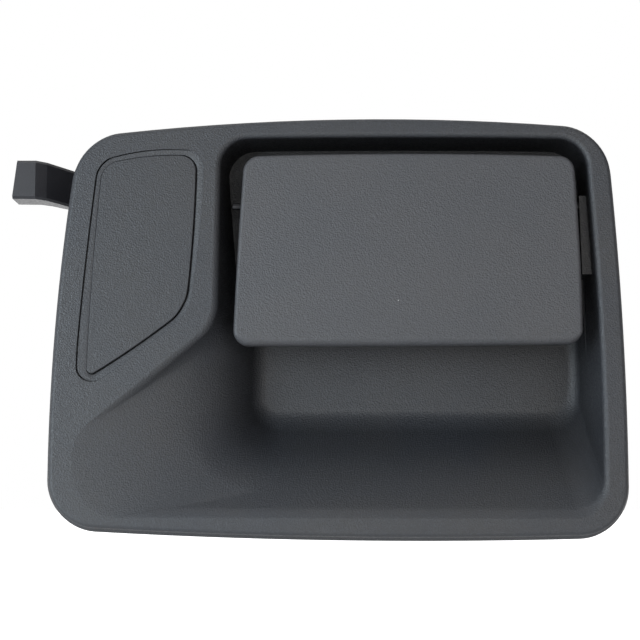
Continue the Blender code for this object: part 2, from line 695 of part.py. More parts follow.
def paddle(cutters):
    """The pull paddle: a moulded cap with a rolled edge, hollow from behind, with two screw holes."""
    loops = []
    for inset, back in quarter_roll(PADDLE_ROLL):
        loops.append([(x, PADDLE_FRONT_Y + back, z) for x, z in paddle_outline(-inset)])
    loops.append([(x, PADDLE_REAR_Y, z) for x, z in paddle_outline(-0.2)])
    cap = loft("paddle", loops, parts())
    hollow_y = (CARRIER_PLATE_Y[0] - GAP, PADDLE_REAR_Y + 2)
    hollow = slab("paddle_hollow", paddle_outline(-PADDLE_WALL), hollow_y, cutters)
    screw_bores = bores("paddle_bore", CARRIER_SCREWS, CARRIER_SCREW[0] + GAP, (-12.0, -8.0), cutters)
    return cut(cap, [hollow, *screw_bores])


def cheek_outline():
    """A side plate of the carrier, round about the pivot (y, z)."""
    root_y = CARRIER_PLATE_Y[1] - 1.0
    outline = [(root_y, PIVOT_Z - 17.0)]
    for k in range(9):
        angle = math.radians(-60 + 120 * k / 8)
        y = PIVOT_Y + CHEEK_NOSE * math.cos(angle)
        outline.append((y, PIVOT_Z + CHEEK_NOSE * math.sin(angle)))
    return [*outline, (root_y, PIVOT_Z + 8.0)]


def tongue_outline():
    """The tongue that reaches back through the deck and lifts the lever's pad with its round nose (y, z)."""
    root_y = CARRIER_PLATE_Y[1] - 1.0
    half = TONGUE_THICK / 2
    outline = [(root_y, PIVOT_Z - 10.0), (PIVOT_Y + 4.0, PIVOT_Z - half - 1.2)]
    for k in range(9):
        angle = math.radians(-90 + 180 * k / 8)
        y = PIVOT_Y + TONGUE_REACH + half * math.cos(angle)
        outline.append((y, PIVOT_Z + half * math.sin(angle)))
    top_z = PIVOT_Z + half + 1.4
    return [*outline, (PIVOT_Y + 2.0, top_z), (root_y, top_z)]


def paddle_carrier(cutters):
    """The cast carrier behind the paddle: plate, ribs, two cheeks on the pivot pin and the tongue."""
    carrier = slab("paddle_carrier", paddle_outline(-CARRIER_INSET), CARRIER_PLATE_Y, parts())
    pieces = []
    for side, right in zip(SIDES, CHEEK_RIGHTS):
        pieces.append(side_slab(f"{side}_cheek", cheek_outline(), (right - CHEEK_THICK, right), cutters))
    pieces.append(side_slab("tongue", tongue_outline(), (TONGUE_X[0] - 1.2, TONGUE_X[1]), cutters))
    for i, z in enumerate(RIB_HEIGHTS):
        low = (CHEEK_RIGHTS[0] + 1.4, CARRIER_PLATE_Y[1] - 0.5, z)
        high = (CHEEK_RIGHTS[1] - 3.0, RIB_REAR_Y, z + RIB_THICK)
        pieces.append(box(f"carrier_rib_{i}", low, high, cutters))
    add(carrier, pieces)
    holes = [cylinder("carrier_bore", PIN_RADIUS + GAP, PIVOT_PLACE, X_AXIS, (-40, 90), cutters, 16)]
    holes += bores("carrier_hole", CARRIER_SCREWS, CARRIER_SCREW[0] + 0.8, (-12.0, -6.0), cutters)
    return cut(carrier, [one_cutter("carrier_holes", holes, cutters)])


def pan_screw(name, place, axis, seat, tip, sizes, cutters):
    """A pan-head screw with a cross recess. Its seat and tip are distances along the axis from the place."""
    shank, head, height = sizes
    top = seat - height
    bulge = height * 0.35
    profile = [(top, head * 0.55), (top + bulge, head * 0.9), (seat - bulge, head), (seat, head)]
    profile += [(seat, shank), (tip - 1.0, shank), (tip, shank * 0.4)]
    screw = turned(name, profile, place, axis, parts(), 20)
    slots = []
    for i, (long_x, long_y) in enumerate(((0.5, 0.14), (0.14, 0.5))):
        low = (-long_x * head, -long_y * head, top - 0.5)
        high = (long_x * head, long_y * head, top + height / 2)
        slot = box(f"{name}_slot_{i}", low, high, cutters)
        slot.data.transform(stand_on(place, axis))
        slots.append(slot)
    return cut(screw, slots)


def carrier_screw(index, cutters):
    x, z = CARRIER_SCREWS[index]
    seat = -(CARRIER_PLATE_Y[1] + GAP)
    return pan_screw(f"carrier_screw_{SIDES[index]}", (x, 0, z), OUT_AXIS, seat, 11.6, CARRIER_SCREW, cutters)


def paddle_spring():
    """The torsion spring on the pivot pin: one leg on the deck, the other on the carrier above the pivot."""
    reach = GAP + SPRING_WIRE + 0.1
    deck_y, carrier_y = DECK_Y - reach, CARRIER_PLATE_Y[1] + reach
    low_z = PIVOT_Z - SPRING_RADIUS
    first = (SPRING_X, PIVOT_Y, PIVOT_Z)
    turns = coil(first, (0, 0, -1), OUT_AXIS, X_AXIS, SPRING_RADIUS, SPRING_PITCH, SPRING_TURNS)
    end_x = turns[-1].x
    start = [(SPRING_X, deck_y, SPRING_LEG_Z[0]), (SPRING_X, deck_y, low_z + 1.5)]
    start.append((SPRING_X, deck_y - 1.5, low_z))
    finish = [(end_x, PIVOT_Y - SPRING_RADIUS - 0.2, low_z + 0.2)]
    finish += [(end_x, carrier_y, PIVOT_Z - 0.5), (end_x, carrier_y, SPRING_LEG_Z[1])]
    return wire("paddle_spring", [*start, *turns, *finish], SPRING_WIRE)


# --------------------------------------------------------------------------------------------------- lever


def lever_outer_arm(cutters):
    """The arm that runs out behind the bezel's skirt and ends in a block beside it, with chamfered edges."""
    loops = []
    for top_x, low_x, front, rear, low, high in LEVER_SECTIONS:
        loop = [(low_x, front, low + LEVER_EDGE), (low_x, front + LEVER_EDGE, low)]
        loop += [(low_x, rear - LEVER_EDGE, low), (low_x, rear, low + LEVER_EDGE)]
        loop += [(top_x, rear, high - LEVER_EDGE), (top_x, rear - LEVER_EDGE, high)]
        loop += [(top_x, front + LEVER_EDGE, high), (top_x, front, high - LEVER_EDGE)]
        loops.append(loop)
    return loft("lever_outer_arm", loops, cutters)


def release_lever(cutters):
    """The release lever: hub, inner arm with the pad under the tongue, and the outer arm."""
    x, z = LEVER_PIVOT
    hub_y = (LEVER_HUB_Y, LEVER_ARM_Y[1])
    lever = cylinder("release_lever", LEVER_HUB_RADIUS, LEVER_PLACE, Y_AXIS, hub_y, parts())
    pad_x = x + LEVER_INNER_ARM
    inner = [(x, z - 5.6), (pad_x, z - 3.0), (pad_x, z + 2.6), (x, z + 5.6)]
    pieces = [slab("lever_inner_arm", inner, LEVER_ARM_Y, cutters)]
    pieces += bores("lever_pad", [(pad_x, z)], LEVER_PAD_RADIUS, (15.5, LEVER_ARM_Y[1]), cutters, 24)
    pieces.append(lever_outer_arm(cutters))
    add(lever, pieces)
    bore_radius = LEVER_PIN_RADIUS + GAP + BUSH_WALL + GAP
    bore = cylinder("lever_bore", bore_radius, LEVER_PLACE, Y_AXIS, (10.0, 30.0), cutters, 20)
    rod_hole = cylinder("rod_hole", ROD_HOLE_RADIUS, ROD_HOLE, Y_AXIS, ROD_HOLE_Y, cutters, 20)
    return cut(lever, [one_cutter("lever_holes", [bore, rod_hole], cutters)])


def lever_bush():
    """The nylon bush between the lever's hub and its pin."""
    inner = LEVER_PIN_RADIUS + GAP
    outer = inner + BUSH_WALL
    profile = [(BUSH_Y[0], outer), (BUSH_Y[1], outer), (BUSH_Y[1], inner), (BUSH_Y[0], inner)]
    return turned("lever_bush", profile, LEVER_PLACE, Y_AXIS, parts(), 20, ring=True)


def lever_pivot_pin():
    """The headed pin through the bracket that the lever turns on, grooved for its clip."""
    seat = BRACKET_Y[0] - GAP
    start, end = LEVER_GROOVE_Y
    profile = [*LEVER_PIN_HEAD, (seat, LEVER_PIN_HEAD[-1][1]), (seat, LEVER_PIN_RADIUS)]
    profile += [(start, LEVER_PIN_RADIUS), (start, LEVER_GROOVE_RADIUS)]
    profile += [(end, LEVER_GROOVE_RADIUS), (end, LEVER_PIN_RADIUS), *LEVER_PIN_END]
    return turned("lever_pivot_pin", profile, LEVER_PLACE, Y_AXIS, parts(), 20)


def lever_bracket(cutters):
    """The stamped plate that holds the lever's pin, on three posts, with a tab for the spring's fixed leg."""
    outline = rounded_outline(BRACKET_POSTS, [0.4] * 3, None, BRACKET_MARGIN, side_steps=1)
    bracket = slab("lever_bracket", outline, BRACKET_Y, parts())
    tab = box("spring_tab", *SPRING_TAB, cutters)
    bore_radius = LEVER_PIN_RADIUS + GAP
    holes = [cylinder("bracket_bore", bore_radius, LEVER_PLACE, Y_AXIS, (10, 20), cutters, 20)]
    holes += bores("bracket_hole", BRACKET_POSTS, 1.9, (10, 20), cutters)
    return cut(add(bracket, [tab]), [one_cutter("bracket_holes", holes, cutters)])


def bracket_screw(index, cutters):
    x, z = BRACKET_POSTS[index]
    seat = -(BRACKET_Y[1] + GAP)
    return pan_screw(f"bracket_screw_{index + 1}", (x, 0, z), OUT_AXIS, seat, -1.0, BRACKET_SCREW, cutters)


def lever_spring():
    """The return spring round the lever's hub: one leg under the bracket's tab, one over the outer arm."""
    x, z = LEVER_PIVOT
    first = (x, RETURN_Y, z)
    turns = coil(first, (0, 0, -1), (-1, 0, 0), Y_AXIS, RETURN_RADIUS, RETURN_PITCH, RETURN_TURNS)
    end_y = turns[-1].y
    tab_z = SPRING_TAB[1][2] + GAP + RETURN_WIRE
    start = [(x + 1.6, RETURN_Y, tab_z), (x + 9.5, RETURN_Y, tab_z), (x + 10.5, RETURN_Y, tab_z + 1.2)]
    start.append((x + 7.0, RETURN_Y, z - RETURN_RADIUS + 1.0))
    hook_x, hook_z = RETURN_HOOK
    finish = [(x - 3.5, end_y, z + RETURN_RADIUS + 0.9), (hook_x, end_y, hook_z)]
    finish += [(hook_x - 0.8, end_y + 0.9, hook_z), (hook_x - 0.8, LEVER_ARM_Y[1] - 1.5, hook_z)]
    return wire("lever_spring", [*start, *turns, *finish], RETURN_WIRE)


# ------------------------------------------------------------------------------------------------ assembly


def paint(finish, pieces):
    """Gives each piece its own material with the finish, and shades it smooth between its edges."""
    colour, roughness, metallic = finish
    for piece in pieces:
        material = bpy.data.materials.new(f"{piece.name}_finish")
        material.use_nodes = True
        material.diffuse_color = (*colour, 1.0)
        shader = material.node_tree.nodes["Principled BSDF"]
        shader.inputs["Base Color"].default_value = (*colour, 1.0)
        shader.inputs["Roughness"].default_value = roughness
        shader.inputs["Metallic"].default_value = metallic
        piece.data.materials.clear()
        piece.data.materials.append(material)
        if piece.type == "MESH":
            piece.data.shade_smooth()
            piece.data.set_sharp_from_angle(angle=math.radians(35))


def hang_on(name, place, pieces):
    """Parents the pieces that move with a joint to an empty on the joint's axis."""
    empty = bpy.data.objects.new(name, None)
    empty.location = Vector(place) * MM
    parts().objects.link(empty)
    bpy.context.view_layer.update()
    for piece in pieces:
        piece.parent = empty
        piece.matrix_parent_inverse = empty.matrix_world.inverted()


def new_collection(name):
    collection = bpy.data.collections.new(name)
    bpy.context.scene.collection.children.link(collection)
    return collection


def build_housing(cutters):
    housing = bezel_housing(cutters)
    plate = lock_blanking_plate(cutters)
    pair = range(2)
    paint(MOULDED_BLACK, [housing, plate])
    paint(RUBBER, [perimeter_gasket(), *[paddle_bumper(i) for i in pair]])
    paint(ZINC_PLATE, [*[mounting_stud(i) for i in pair], *[mounting_nut(i) for i in pair], pivot_pin()])
    clip = retaining_clip("pivot_pin_clip", PIVOT_PLACE, X_AXIS, **PIN_CLIP)
    paint(SPRING_STEEL, [*[push_nut(i) for i in pair], clip])


def build_paddle(cutters):
    cap, carrier = paddle(cutters), paddle_carrier(cutters)
    screws = [carrier_screw(i, cutters) for i in range(2)]
    paint(PADDLE_BLACK, [cap])
    paint(CAST_ALLOY, [carrier])
    paint(ZINC_PLATE, screws)
    paint(SPRING_STEEL, [paddle_spring()])
    hang_on("paddle_axis", PIVOT_PLACE, [cap, carrier, *screws])


def build_lever(cutters):
    lever, bush = release_lever(cutters), lever_bush()
    screws = [bracket_screw(i, cutters) for i in range(3)]
    clip = retaining_clip("lever_pin_clip", LEVER_PLACE, Y_AXIS, **LEVER_CLIP)
    paint(LEVER_BLACK, [lever])
    paint(NATURAL_NYLON, [bush])
    paint(ZINC_PLATE, [lever_bracket(cutters), lever_pivot_pin(), *screws])
    paint(SPRING_STEEL, [clip, lever_spring()])
    hang_on("lever_axis", (LEVER_PIVOT[0], LEVER_ARM_Y[0], LEVER_PIVOT[1]), [lever, bush])


def main():
    for old in list(bpy.data.objects):
        bpy.data.objects.remove(old, do_unlink=True)
    new_collection(COLLECTION_NAME)
    cutters = new_collection("cutters")
    build_housing(cutters)
    build_paddle(cutters)
    build_lever(cutters)
    for cutter in cutters.objects:
        cutter.hide_render = True
        cutter.display_type = "WIRE"


main()
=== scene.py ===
"""Looks for the car door handle: fine moulded surfaces, true springs and threads, and the studio round them.

The frame is in metres. Sizes below are in millimetres and are scaled by MM as meshes are made. They repeat
the CAD part's driving dimensions, and what the frame states is read from it.
"""

import json
import math

import bmesh
import bpy
from mathutils import Matrix, Vector


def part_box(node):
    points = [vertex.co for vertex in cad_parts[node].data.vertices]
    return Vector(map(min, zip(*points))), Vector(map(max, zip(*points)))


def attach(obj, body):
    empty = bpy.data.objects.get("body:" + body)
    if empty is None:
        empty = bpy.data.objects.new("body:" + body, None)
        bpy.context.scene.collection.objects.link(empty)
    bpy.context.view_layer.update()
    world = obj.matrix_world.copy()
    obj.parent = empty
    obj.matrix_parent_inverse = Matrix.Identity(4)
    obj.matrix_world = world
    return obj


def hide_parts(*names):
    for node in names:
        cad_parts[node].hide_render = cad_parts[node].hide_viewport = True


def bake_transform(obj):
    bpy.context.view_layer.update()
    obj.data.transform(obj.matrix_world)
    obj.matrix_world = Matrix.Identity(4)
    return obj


MM = 0.001
X_AXIS, Y_AXIS, OUT_AXIS = (1, 0, 0), (0, 1, 0), (0, -1, 0)
HOUSING, PADDLE, LEVER = "housing", "paddle", "lever"
SHADE_ANGLE, LEVER_SHADE_ANGLE, WIRE_SHADE_ANGLE, THREAD_SHADE_ANGLE = 32.0, 45.0, 60.0, 50.0

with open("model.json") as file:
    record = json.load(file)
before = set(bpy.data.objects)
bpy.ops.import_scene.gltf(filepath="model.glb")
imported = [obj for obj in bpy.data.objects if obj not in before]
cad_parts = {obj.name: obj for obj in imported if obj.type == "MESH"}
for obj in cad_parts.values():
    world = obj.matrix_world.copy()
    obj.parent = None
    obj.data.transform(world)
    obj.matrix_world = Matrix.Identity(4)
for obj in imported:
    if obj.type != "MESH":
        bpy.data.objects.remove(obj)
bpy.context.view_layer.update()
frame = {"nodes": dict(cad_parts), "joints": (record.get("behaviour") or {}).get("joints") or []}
joints = {joint["name"]: joint for joint in frame["joints"]}


def node_box(name):
    """A CAD node's lowest and highest corner, in millimetres."""
    low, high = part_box(name)
    return low / MM, high / MM


# Bezel outline, and the recess at its mouth and at its back wall, anticlockwise from the lower left (x, z).
BEZEL_CORNERS = [(-98.9, -0.1), (99.4, -3.0), (93.8, 137.3), (-89.8, 134.3)]
BEZEL_RADII = [14.4, 14.7, 15.2, 15.1]
BEZEL_BOWS = [2.5, 2.08, 5.02, 3.0]
RECESS_MOUTH = [(-87.0, 4.0), (91.4, 3.7), (86.2, 133.9), (-40.6, 133.9), (-42.0, 68.6), (-90.4, 28.6)]
RECESS_DEEP = [(-29.5, 36.2), (86.6, 36.2), (85.0, 132.2), (-38.6, 132.2), (-29.5, 72.0), (-29.0, 57.0)]
RECESS_RADII = [14.0, 10.0, 9.5, 9.5, 17.0, 14.0]
RECESS_BOWS = [0.0, 1.7, 0.6, 0.0, 0.0, 0.0]
POCKET_DEPTH = 34.0

# Which of the recess's corners are which, by their place in those lists.
LEFT_FOOT, LEFT_TOP = 0, 5
ROOF_CORNERS = (2, 3)
LEFT_WALL_CORNERS = (3, 4)

# The left slope: how soon it flattens, how its top edge rises, and how its corners' radii grow and shrink
# (depth of the peak, growth there, shrinking for each millimetre after it).
SLOPE_RATE = 8.0
SLOPE_RISE = 1.75
SLOPE_SPREAD = (8.0, 12.0, 0.7)

# Recess edges, deck and roof.
LIP = 2.0
FLOOR_FILLET = 4.0
DECK_DEPTH = 20.0
ROOF_FRONT_Z, ROOF_BACK_Z = 90.0, 76.0
ROOF_RADIUS = 2.0

# Levels and skirt (offset, y), wall thickness and clearances. SKIM keeps a cutter off a face's own plane.
FACE_Y = node_box("bezel_housing")[0].y
REAR_Y = -1.9
DECK_Y = FACE_Y + DECK_DEPTH
EDGE_ROLL = 1.5
SKIRT = [(0.2, -5.4), (0.5, -4.6), (1.5, -3.4), (1.5, REAR_Y)]
FOOT_FLARE = SKIRT[-1][0]
WALL = 2.5
SINK = 1.2
GAP = 0.3
SKIM = 0.02

# Lock blanking plate.
PLATE_CORNERS = [(-86.6, 49.6), (-52.0, 73.9), (-48.6, 127.8), (-81.8, 124.6)]
PLATE_RADII = [1.8, 14.8, 4.7, 5.8]
PLATE_BOWS = [0.7, 0.7, 1.5, 0.6]
LEDGE_CORNERS = [(-91.1, 43.4), (-51.6, 72.7), (-46.7, 129.2), (-83.4, 125.6)]
LEDGE_RADII = [5.1, 10.1, 5.1, 6.3]
LEDGE_BOWS = [0.8, 1.3, 2.3, 0.6]
PLATE_THICK = 2.4
PLATE_STUDS = [(-72.0, 108.0), (-66.0, 78.0)]
PLATE_STUD_RADIUS, PLATE_BORE_RADIUS, PLATE_STUD_END_Y = 1.5, 1.8, -2.0
PLATE_CLEARANCE, PLATE_EDGE, PLATE_SUNK, PLATE_TILT = 0.28, 0.45, 0.48, 0.011
PLATE_SHIFT_X, PLATE_SHIFT_Z = 0.22, 0.15
PLATE_ROLL, PLATE_ROLL_TILT, PLATE_LEAST_ROLL = 0.7, 0.35, 0.35
SEAT_Y = FACE_Y + PLATE_THICK + GAP
SEAT_PAD_GROWTH = 2.6

# The ledge round the plate, and the crevice at its edge: least and extra depth and width, and where it opens.
LEDGE_MOUTH, LEDGE_STEP, LEDGE_DEPTH, LEDGE_SLOPE = 0.15, 0.12, 0.17, 0.2
LEDGE_DROP, LEDGE_FOOT = 0.42, 0.55
CREVICE_DEPTH, CREVICE_WIDTH, CREVICE_LIP = (0.15, 1.3), (0.05, 0.4), 0.06
CREVICE_SIDES = (0.15, 0.95, 0.4)

# Housing details.
PIVOT = Vector(joints["paddle_hinge"]["pos_m"]) / MM
PIN_RADIUS, PIN_BORE_X = 1.25, (-34.0, 92.0)
LEFT_EAR_X = (-30.2, -28.2)
LEFT_EAR = [(DECK_Y + 1, 97.0), (-4.6, 100.0), (-4.6, 115.5), (DECK_Y + 1, 115.5)]
RIGHT_EAR_Y = (-5.0, DECK_Y + 1)
RIGHT_EAR = [(85.9, 87.0), (90.2, 87.0), (88.8, 114.8), (85.1, 114.8)]
BUMPER_PLACES = [(-8.0, 96.0), (62.0, 96.0)]
BUMPER_POST_RADIUS, BUMPER_BORE_RADIUS, BUMPER_POST_FRONT_Y = 3.5, 1.75, -3.4
SNAP_RIDGE = [(1.6, 135.0), (1.6, 137.8), (2.4, 137.8), (6.0, 135.0)]
SNAP_RIDGE_STARTS, SNAP_RIDGE_WIDTH = (-10.0, 50.0), 16.0
TONGUE_SLOT_X, TONGUE_SLOT_Z = (-27.4, -16.0), (98.5, 116.0)
MOUNT_STUDS = [(-84.0, 36.0), (74.0, 4.4)]
STUD_RADIUS = 2.5
STUD_BOSS_RADII, STUD_BOSS_FRONT_Y, STUD_BORE_STARTS = (5.6, 4.4), -9.6, (-8.4, -6.0)
BRACKET_POSTS = [(-77.0, 97.0), (-49.0, 88.0), (-58.0, 123.0)]
POST_RADIUS, POST_BORE_RADIUS = 4.0, 1.55
BRACKET_FRONT_Y = node_box("lever_bracket")[0].y

# Paddle.
PADDLE_CORNERS = [(-36.1, 61.3), (84.7, 62.0), (82.3, 127.5), (-32.4, 127.5)]
PADDLE_RADII = [5.0, 5.0, 5.0, 5.5]
PADDLE_BOWS = [0.3, 0.6, 0.96, 0.3]
PADDLE_FRONT_Y, PADDLE_REAR_Y = node_box("paddle")[0].y, node_box("paddle")[1].y
PADDLE_ROLL, PADDLE_SIDE_ROLL = 3.0, 0.45
PADDLE_WALL = 2.6
PADDLE_CAVITY_Y = -10.4
PADDLE_SCREWS, PADDLE_SCREW_BORE = [(0.0, 76.0), (52.0, 76.0)], 1.3
CARRIER_REAR_Y = -8.1
PADDLE_SPRING = {"wire": 0.6, "radius": 3.3, "pitch": 1.35, "turns": 5.0, "bend": 1.2}
PADDLE_SPRING |= {"x": 10.0, "legs_z": (123.0, 121.0)}

# Studs and the lever's return spring.
STUD_STARTS, STUD_END_Y, STUD_PITCH = (-8.1, -5.7), node_box("mounting_stud_left")[1].y, 0.8
THREAD_START_Y, THREAD_DEPTH, THREAD_STEPS = -0.4, 0.45, 8
STUD_CHAMFER, STUD_HEAD_CHAMFER, STUD_END_CHAMFER = 0.6, 0.4, 0.7
LEVER_PIVOT = Vector(joints["lever_hinge"]["pos_m"]) / MM
LEVER_ARM_REAR_Y = node_box("release_lever")[1].y
TAB_TOP_Z = 94.2
RETURN_SPRING = {"wire": 0.5, "radius": 6.9, "pitch": 1.1, "turns": 2.5, "bend": 1.0}
RETURN_SPRING |= {"y": 15.5, "hook": (-76.0, 119.3)}

# Surroundings: brightness by height from straight down (0) to straight up (1), and the tints of the sides.
SKY_BANDS = [(0.0, 0.9), (0.16, 0.6), (0.26, 0.1), (0.405, 0.12), (0.465, 2.15)]
SKY_BANDS += [(0.555, 2.05), (0.65, 0.75), (0.75, 0.15), (0.86, 0.6), (0.95, 2.6)]
SKY_RIGHT, SKY_LEFT, SKY_BEHIND = (0.16, 0.15, 0.145), (0.62, 0.64, 0.67), (0.6, 0.6, 0.6)
SIDES_DARK = (0.05, 0.6)
BEHIND_FADE = (0.1, 0.5)

# Stage and camera, in metres and degrees.
FLOOR_SIZE, FLOOR_Z = 6.0, -0.12
FLOOR_TONE, FLOOR_MOTTLE = (0.9, 0.9, 0.9), (0.88, 0.88, 0.88)
FLOOR_GLOW_Y, FLOOR_GLOW = (0.15, 0.6), (0.05, 0.8)
KEY_PLACE, KEY_AIM, KEY_SIZE, KEY_POWER = (-0.40, -0.40, 0.06), (0, 0, 0.07), 0.34, 2.0
KEY_COLOUR = (0.80, 0.92, 1.0)
FILL_PLACE, FILL_AIM, FILL_SIZE, FILL_POWER = (0.16, -0.55, -0.06), (0, 0, 0.05), 0.30, 0.55
FILL_COLOUR = (1.0, 0.94, 0.86)
CAMERA_PLACE, CAMERA_PITCH = (-0.006, -0.5694, 0.01653), 95.5
CAMERA_LENS, CAMERA_SENSOR = 91.3, 36.0


# ------------------------------------------------------------------------------------------------ outlines


def offset_corners(corners, distance):
    """Corners of an anticlockwise polygon whose sides have all moved outwards by the distance."""
    count = len(corners)
    moved = []
    for i in range(count):
        lines = []
        for start, end in ((corners[i - 1], corners[i]), (corners[i], corners[(i + 1) % count])):
            along = (Vector(end) - Vector(start)).normalized()
            outward = Vector((along.y, -along.x))
            lines.append((Vector(start) + outward * distance, along))
        (p, u), (q, v) = lines
        step = (q - p).cross(v) / u.cross(v)
        moved.append(tuple(p + u * step))
    return moved


def corner_arc(corner, before, after, radius, offset, steps):
    """Points round one corner of an outline. A hollow corner's radius shrinks as the outline grows."""
    back = (before - corner).normalized()
    ahead = (after - corner).normalized()
    turning = 1.0 if back.cross(ahead) < 0.0 else -1.0
    radius = max(radius + offset * turning, GAP)
    half = back.angle(ahead) / 2
    centre = corner + (back + ahead).normalized() * radius / math.sin(half)
    first = corner + back * radius / math.tan(half) - centre
    turn = (math.pi - 2 * half) * turning
    return [centre + Matrix.Rotation(turn * k / steps, 2) @ first for k in range(steps + 1)]


def bowed(point, start, end, bow):
    """How far a side's bow moves a point on it."""
    chord = end - start
    share = min(max((point - start).dot(chord) / chord.length_squared, 0.0), 1.0)
    outward = Vector((chord.y, -chord.x)).normalized()
    return outward * bow * 4 * share * (1 - share)


def rounded_outline(corners, radii, bows=None, offset=0.0, arc_steps=14, side_steps=14):
    """Points (x, z) round an anticlockwise outline with round corners and sides that bow outwards."""
    count = len(corners)
    bows = bows or [0.0] * count
    corners = [Vector(corner) for corner in offset_corners(corners, offset)]
    arcs = []
    for i in range(count):
        after = corners[(i + 1) % count]
        arcs.append(corner_arc(corners[i], corners[i - 1], after, radii[i], offset, arc_steps))
    points = []
    for i in range(count):
        following = arcs[(i + 1) % count]
        points += [(point, (i - 1, i)) for point in arcs[i]]
        for k in range(1, side_steps):
            points.append((arcs[i][-1].lerp(following[0], k / side_steps), (i,)))
    outline = []
    for point, sides in points:
        place = point.copy()
        for side in sides:
            place += bowed(point, corners[side], corners[(side + 1) % count], bows[side])
        outline.append(tuple(place))
    return outline


def quarter_roll(radius, steps=8):
    """A quarter round: pairs of how far it has still to come out, and how far back it has gone."""
    pairs = []
    for k in range(steps + 1):
        angle = math.pi / 2 * k / steps
        pairs.append((radius * (1 - math.sin(angle)), radius * (1 - math.cos(angle))))
    return pairs


def bezel_outline(offset=0.0):
    return rounded_outline(BEZEL_CORNERS, BEZEL_RADII, BEZEL_BOWS, offset)


def bezel_loops(profile):
    """Loops (x, y, z) of the bezel's outline, at each offset and y of a profile."""
    return [[(x, y, z) for x, z in bezel_outline(offset)] for offset, y in profile]


def plate_outline(offset=0.0):
    return rounded_outline(PLATE_CORNERS, PLATE_RADII, PLATE_BOWS, offset, arc_steps=10, side_steps=10)


def ledge_outline(offset=0.0):
    return rounded_outline(LEDGE_CORNERS, LEDGE_RADII, LEDGE_BOWS, offset, arc_steps=10, side_steps=10)


def paddle_outline(offset=0.0):
    return rounded_outline(PADDLE_CORNERS, PADDLE_RADII, PADDLE_BOWS, offset, arc_steps=10)


def recess_corners(depth):
    """The recess's corners at a depth behind the face: steep walls, and a left slope that starts shallow."""
    straight = min(depth / POCKET_DEPTH, 1.0)
    gone = max(depth, 0.0)
    slope = gone / (gone + SLOPE_RATE) * (POCKET_DEPTH + SLOPE_RATE) / POCKET_DEPTH
    rise = 1 - max(1 - slope, 0.0) ** SLOPE_RISE
    corners = []
    for i, (mouth, deep) in enumerate(zip(RECESS_MOUTH, RECESS_DEEP)):
        share_x = slope if i in (LEFT_FOOT, LEFT_TOP) else straight
        share_z = rise if i == LEFT_TOP else straight
        x = mouth[0] + (deep[0] - mouth[0]) * share_x
        z = mouth[1] + (deep[1] - mouth[1]) * share_z
        corners.append((x, z))
    return corners


def slope_spread(depth):
    """How much the radii of the left slope's two corners have grown at a depth."""
    peak, most, closing = SLOPE_SPREAD
    return most * max(depth, 0.0) / peak if depth < peak else most - closing * (depth - peak)


def recess_lip():
    """(depth, how far the outline has grown) round the recess's lip, from in front of the face."""
    return [(-3.0, LIP), *[(depth - SKIM, grown) for grown, depth in quarter_roll(LIP)]]


def recess_stations():
    """(depth, how far the outline has grown) down the recess, from below its lip to the back wall.

    They lie close together near the mouth, where the slope curves most.
    """
    stations = [(LIP + step * 0.6, 0.0) for step in range(1, 11)]
    stations += [(9.0 + step, 0.0) for step in range(11)]
    stations += [(DECK_DEPTH, 0.0), (DECK_DEPTH + 0.4, 0.0)]
    stations = sorted(set(stations))
    stations += [(DECK_DEPTH + step, 0.0) for step in range(2, 10)]
    for short, inset in quarter_roll(FLOOR_FILLET):
        stations.append((POCKET_DEPTH - short, -inset))
    return stations


def recess_loops(wall=0.0):
    """Loops (x, y, z) down the recess. Past the deck only the pocket goes on.

    With a wall thickness they are the bucket's outside, which starts inside the face's plate.
    """
    mouth = [(SINK - wall, 0.0)] if wall else recess_lip()
    loops = []
    for depth, grown in [*mouth, *recess_stations()]:
        corners = recess_corners(depth)
        radii = list(RECESS_RADII)
        for i in (LEFT_FOOT, LEFT_TOP):
            radii[i] += slope_spread(depth)
        if depth > DECK_DEPTH:
            share = (depth - DECK_DEPTH) / (POCKET_DEPTH - DECK_DEPTH)
            roof = ROOF_FRONT_Z + (ROOF_BACK_Z - ROOF_FRONT_Z) * share
            for i in ROOF_CORNERS:
                corners[i] = (corners[i][0] + 1.0, roof)
            for i in LEFT_WALL_CORNERS:
                radii[i] = ROOF_RADIUS
        outline = rounded_outline(corners, radii, RECESS_BOWS, grown + wall, 10, 8)
        loops.append([(x, FACE_Y + depth + wall, z) for x, z in outline])
    return loops


# -------------------------------------------------------------------------------------------- mesh helpers


def object_from(name, shape):
    """A new object from a bmesh in metres, with its faces looking outwards."""
    shape.normal_update()
    bmesh.ops.recalc_face_normals(shape, faces=shape.faces)
    mesh = bpy.data.meshes.new(name)
    shape.to_mesh(mesh)
    shape.free()
    made = bpy.data.objects.new(name, mesh)
    bpy.context.scene.collection.objects.link(made)
    return made


def mesh_of(made):
    """A bmesh of the object as its modifiers, or its curve's settings, shape it. The object goes."""
    graph = bpy.context.evaluated_depsgraph_get()
    mesh = bpy.data.meshes.new_from_object(made.evaluated_get(graph))
    shape = bmesh.new()
    shape.from_mesh(mesh)
    bpy.data.meshes.remove(mesh)
    bpy.data.objects.remove(made, do_unlink=True)
    return shape


def loft(name, loops, ring=False):
    """A closed solid through loops of equal count. A ring joins the last loop to the first, else caps do."""
    shape = bmesh.new()
    rows = [[shape.verts.new(Vector(point) * MM) for point in loop] for loop in loops]
    pairs = list(zip(rows, rows[1:]))
    if ring:
        pairs.append((rows[-1], rows[0]))
    for near, far in pairs:
        for i in range(len(near)):
            j = (i + 1) % len(near)
            shape.faces.new((near[i], near[j], far[j], far[i]))
    if not ring:
        shape.faces.new(rows[0])
        shape.faces.new(rows[-1])
    return object_from(name, shape)


def slab(name, outline, y_range):
    return loft(name, [[(x, y, z) for x, z in outline] for y in y_range])


def side_slab(name, outline, x_range):
    return loft(name, [[(x, y, z) for y, z in outline] for x in x_range])


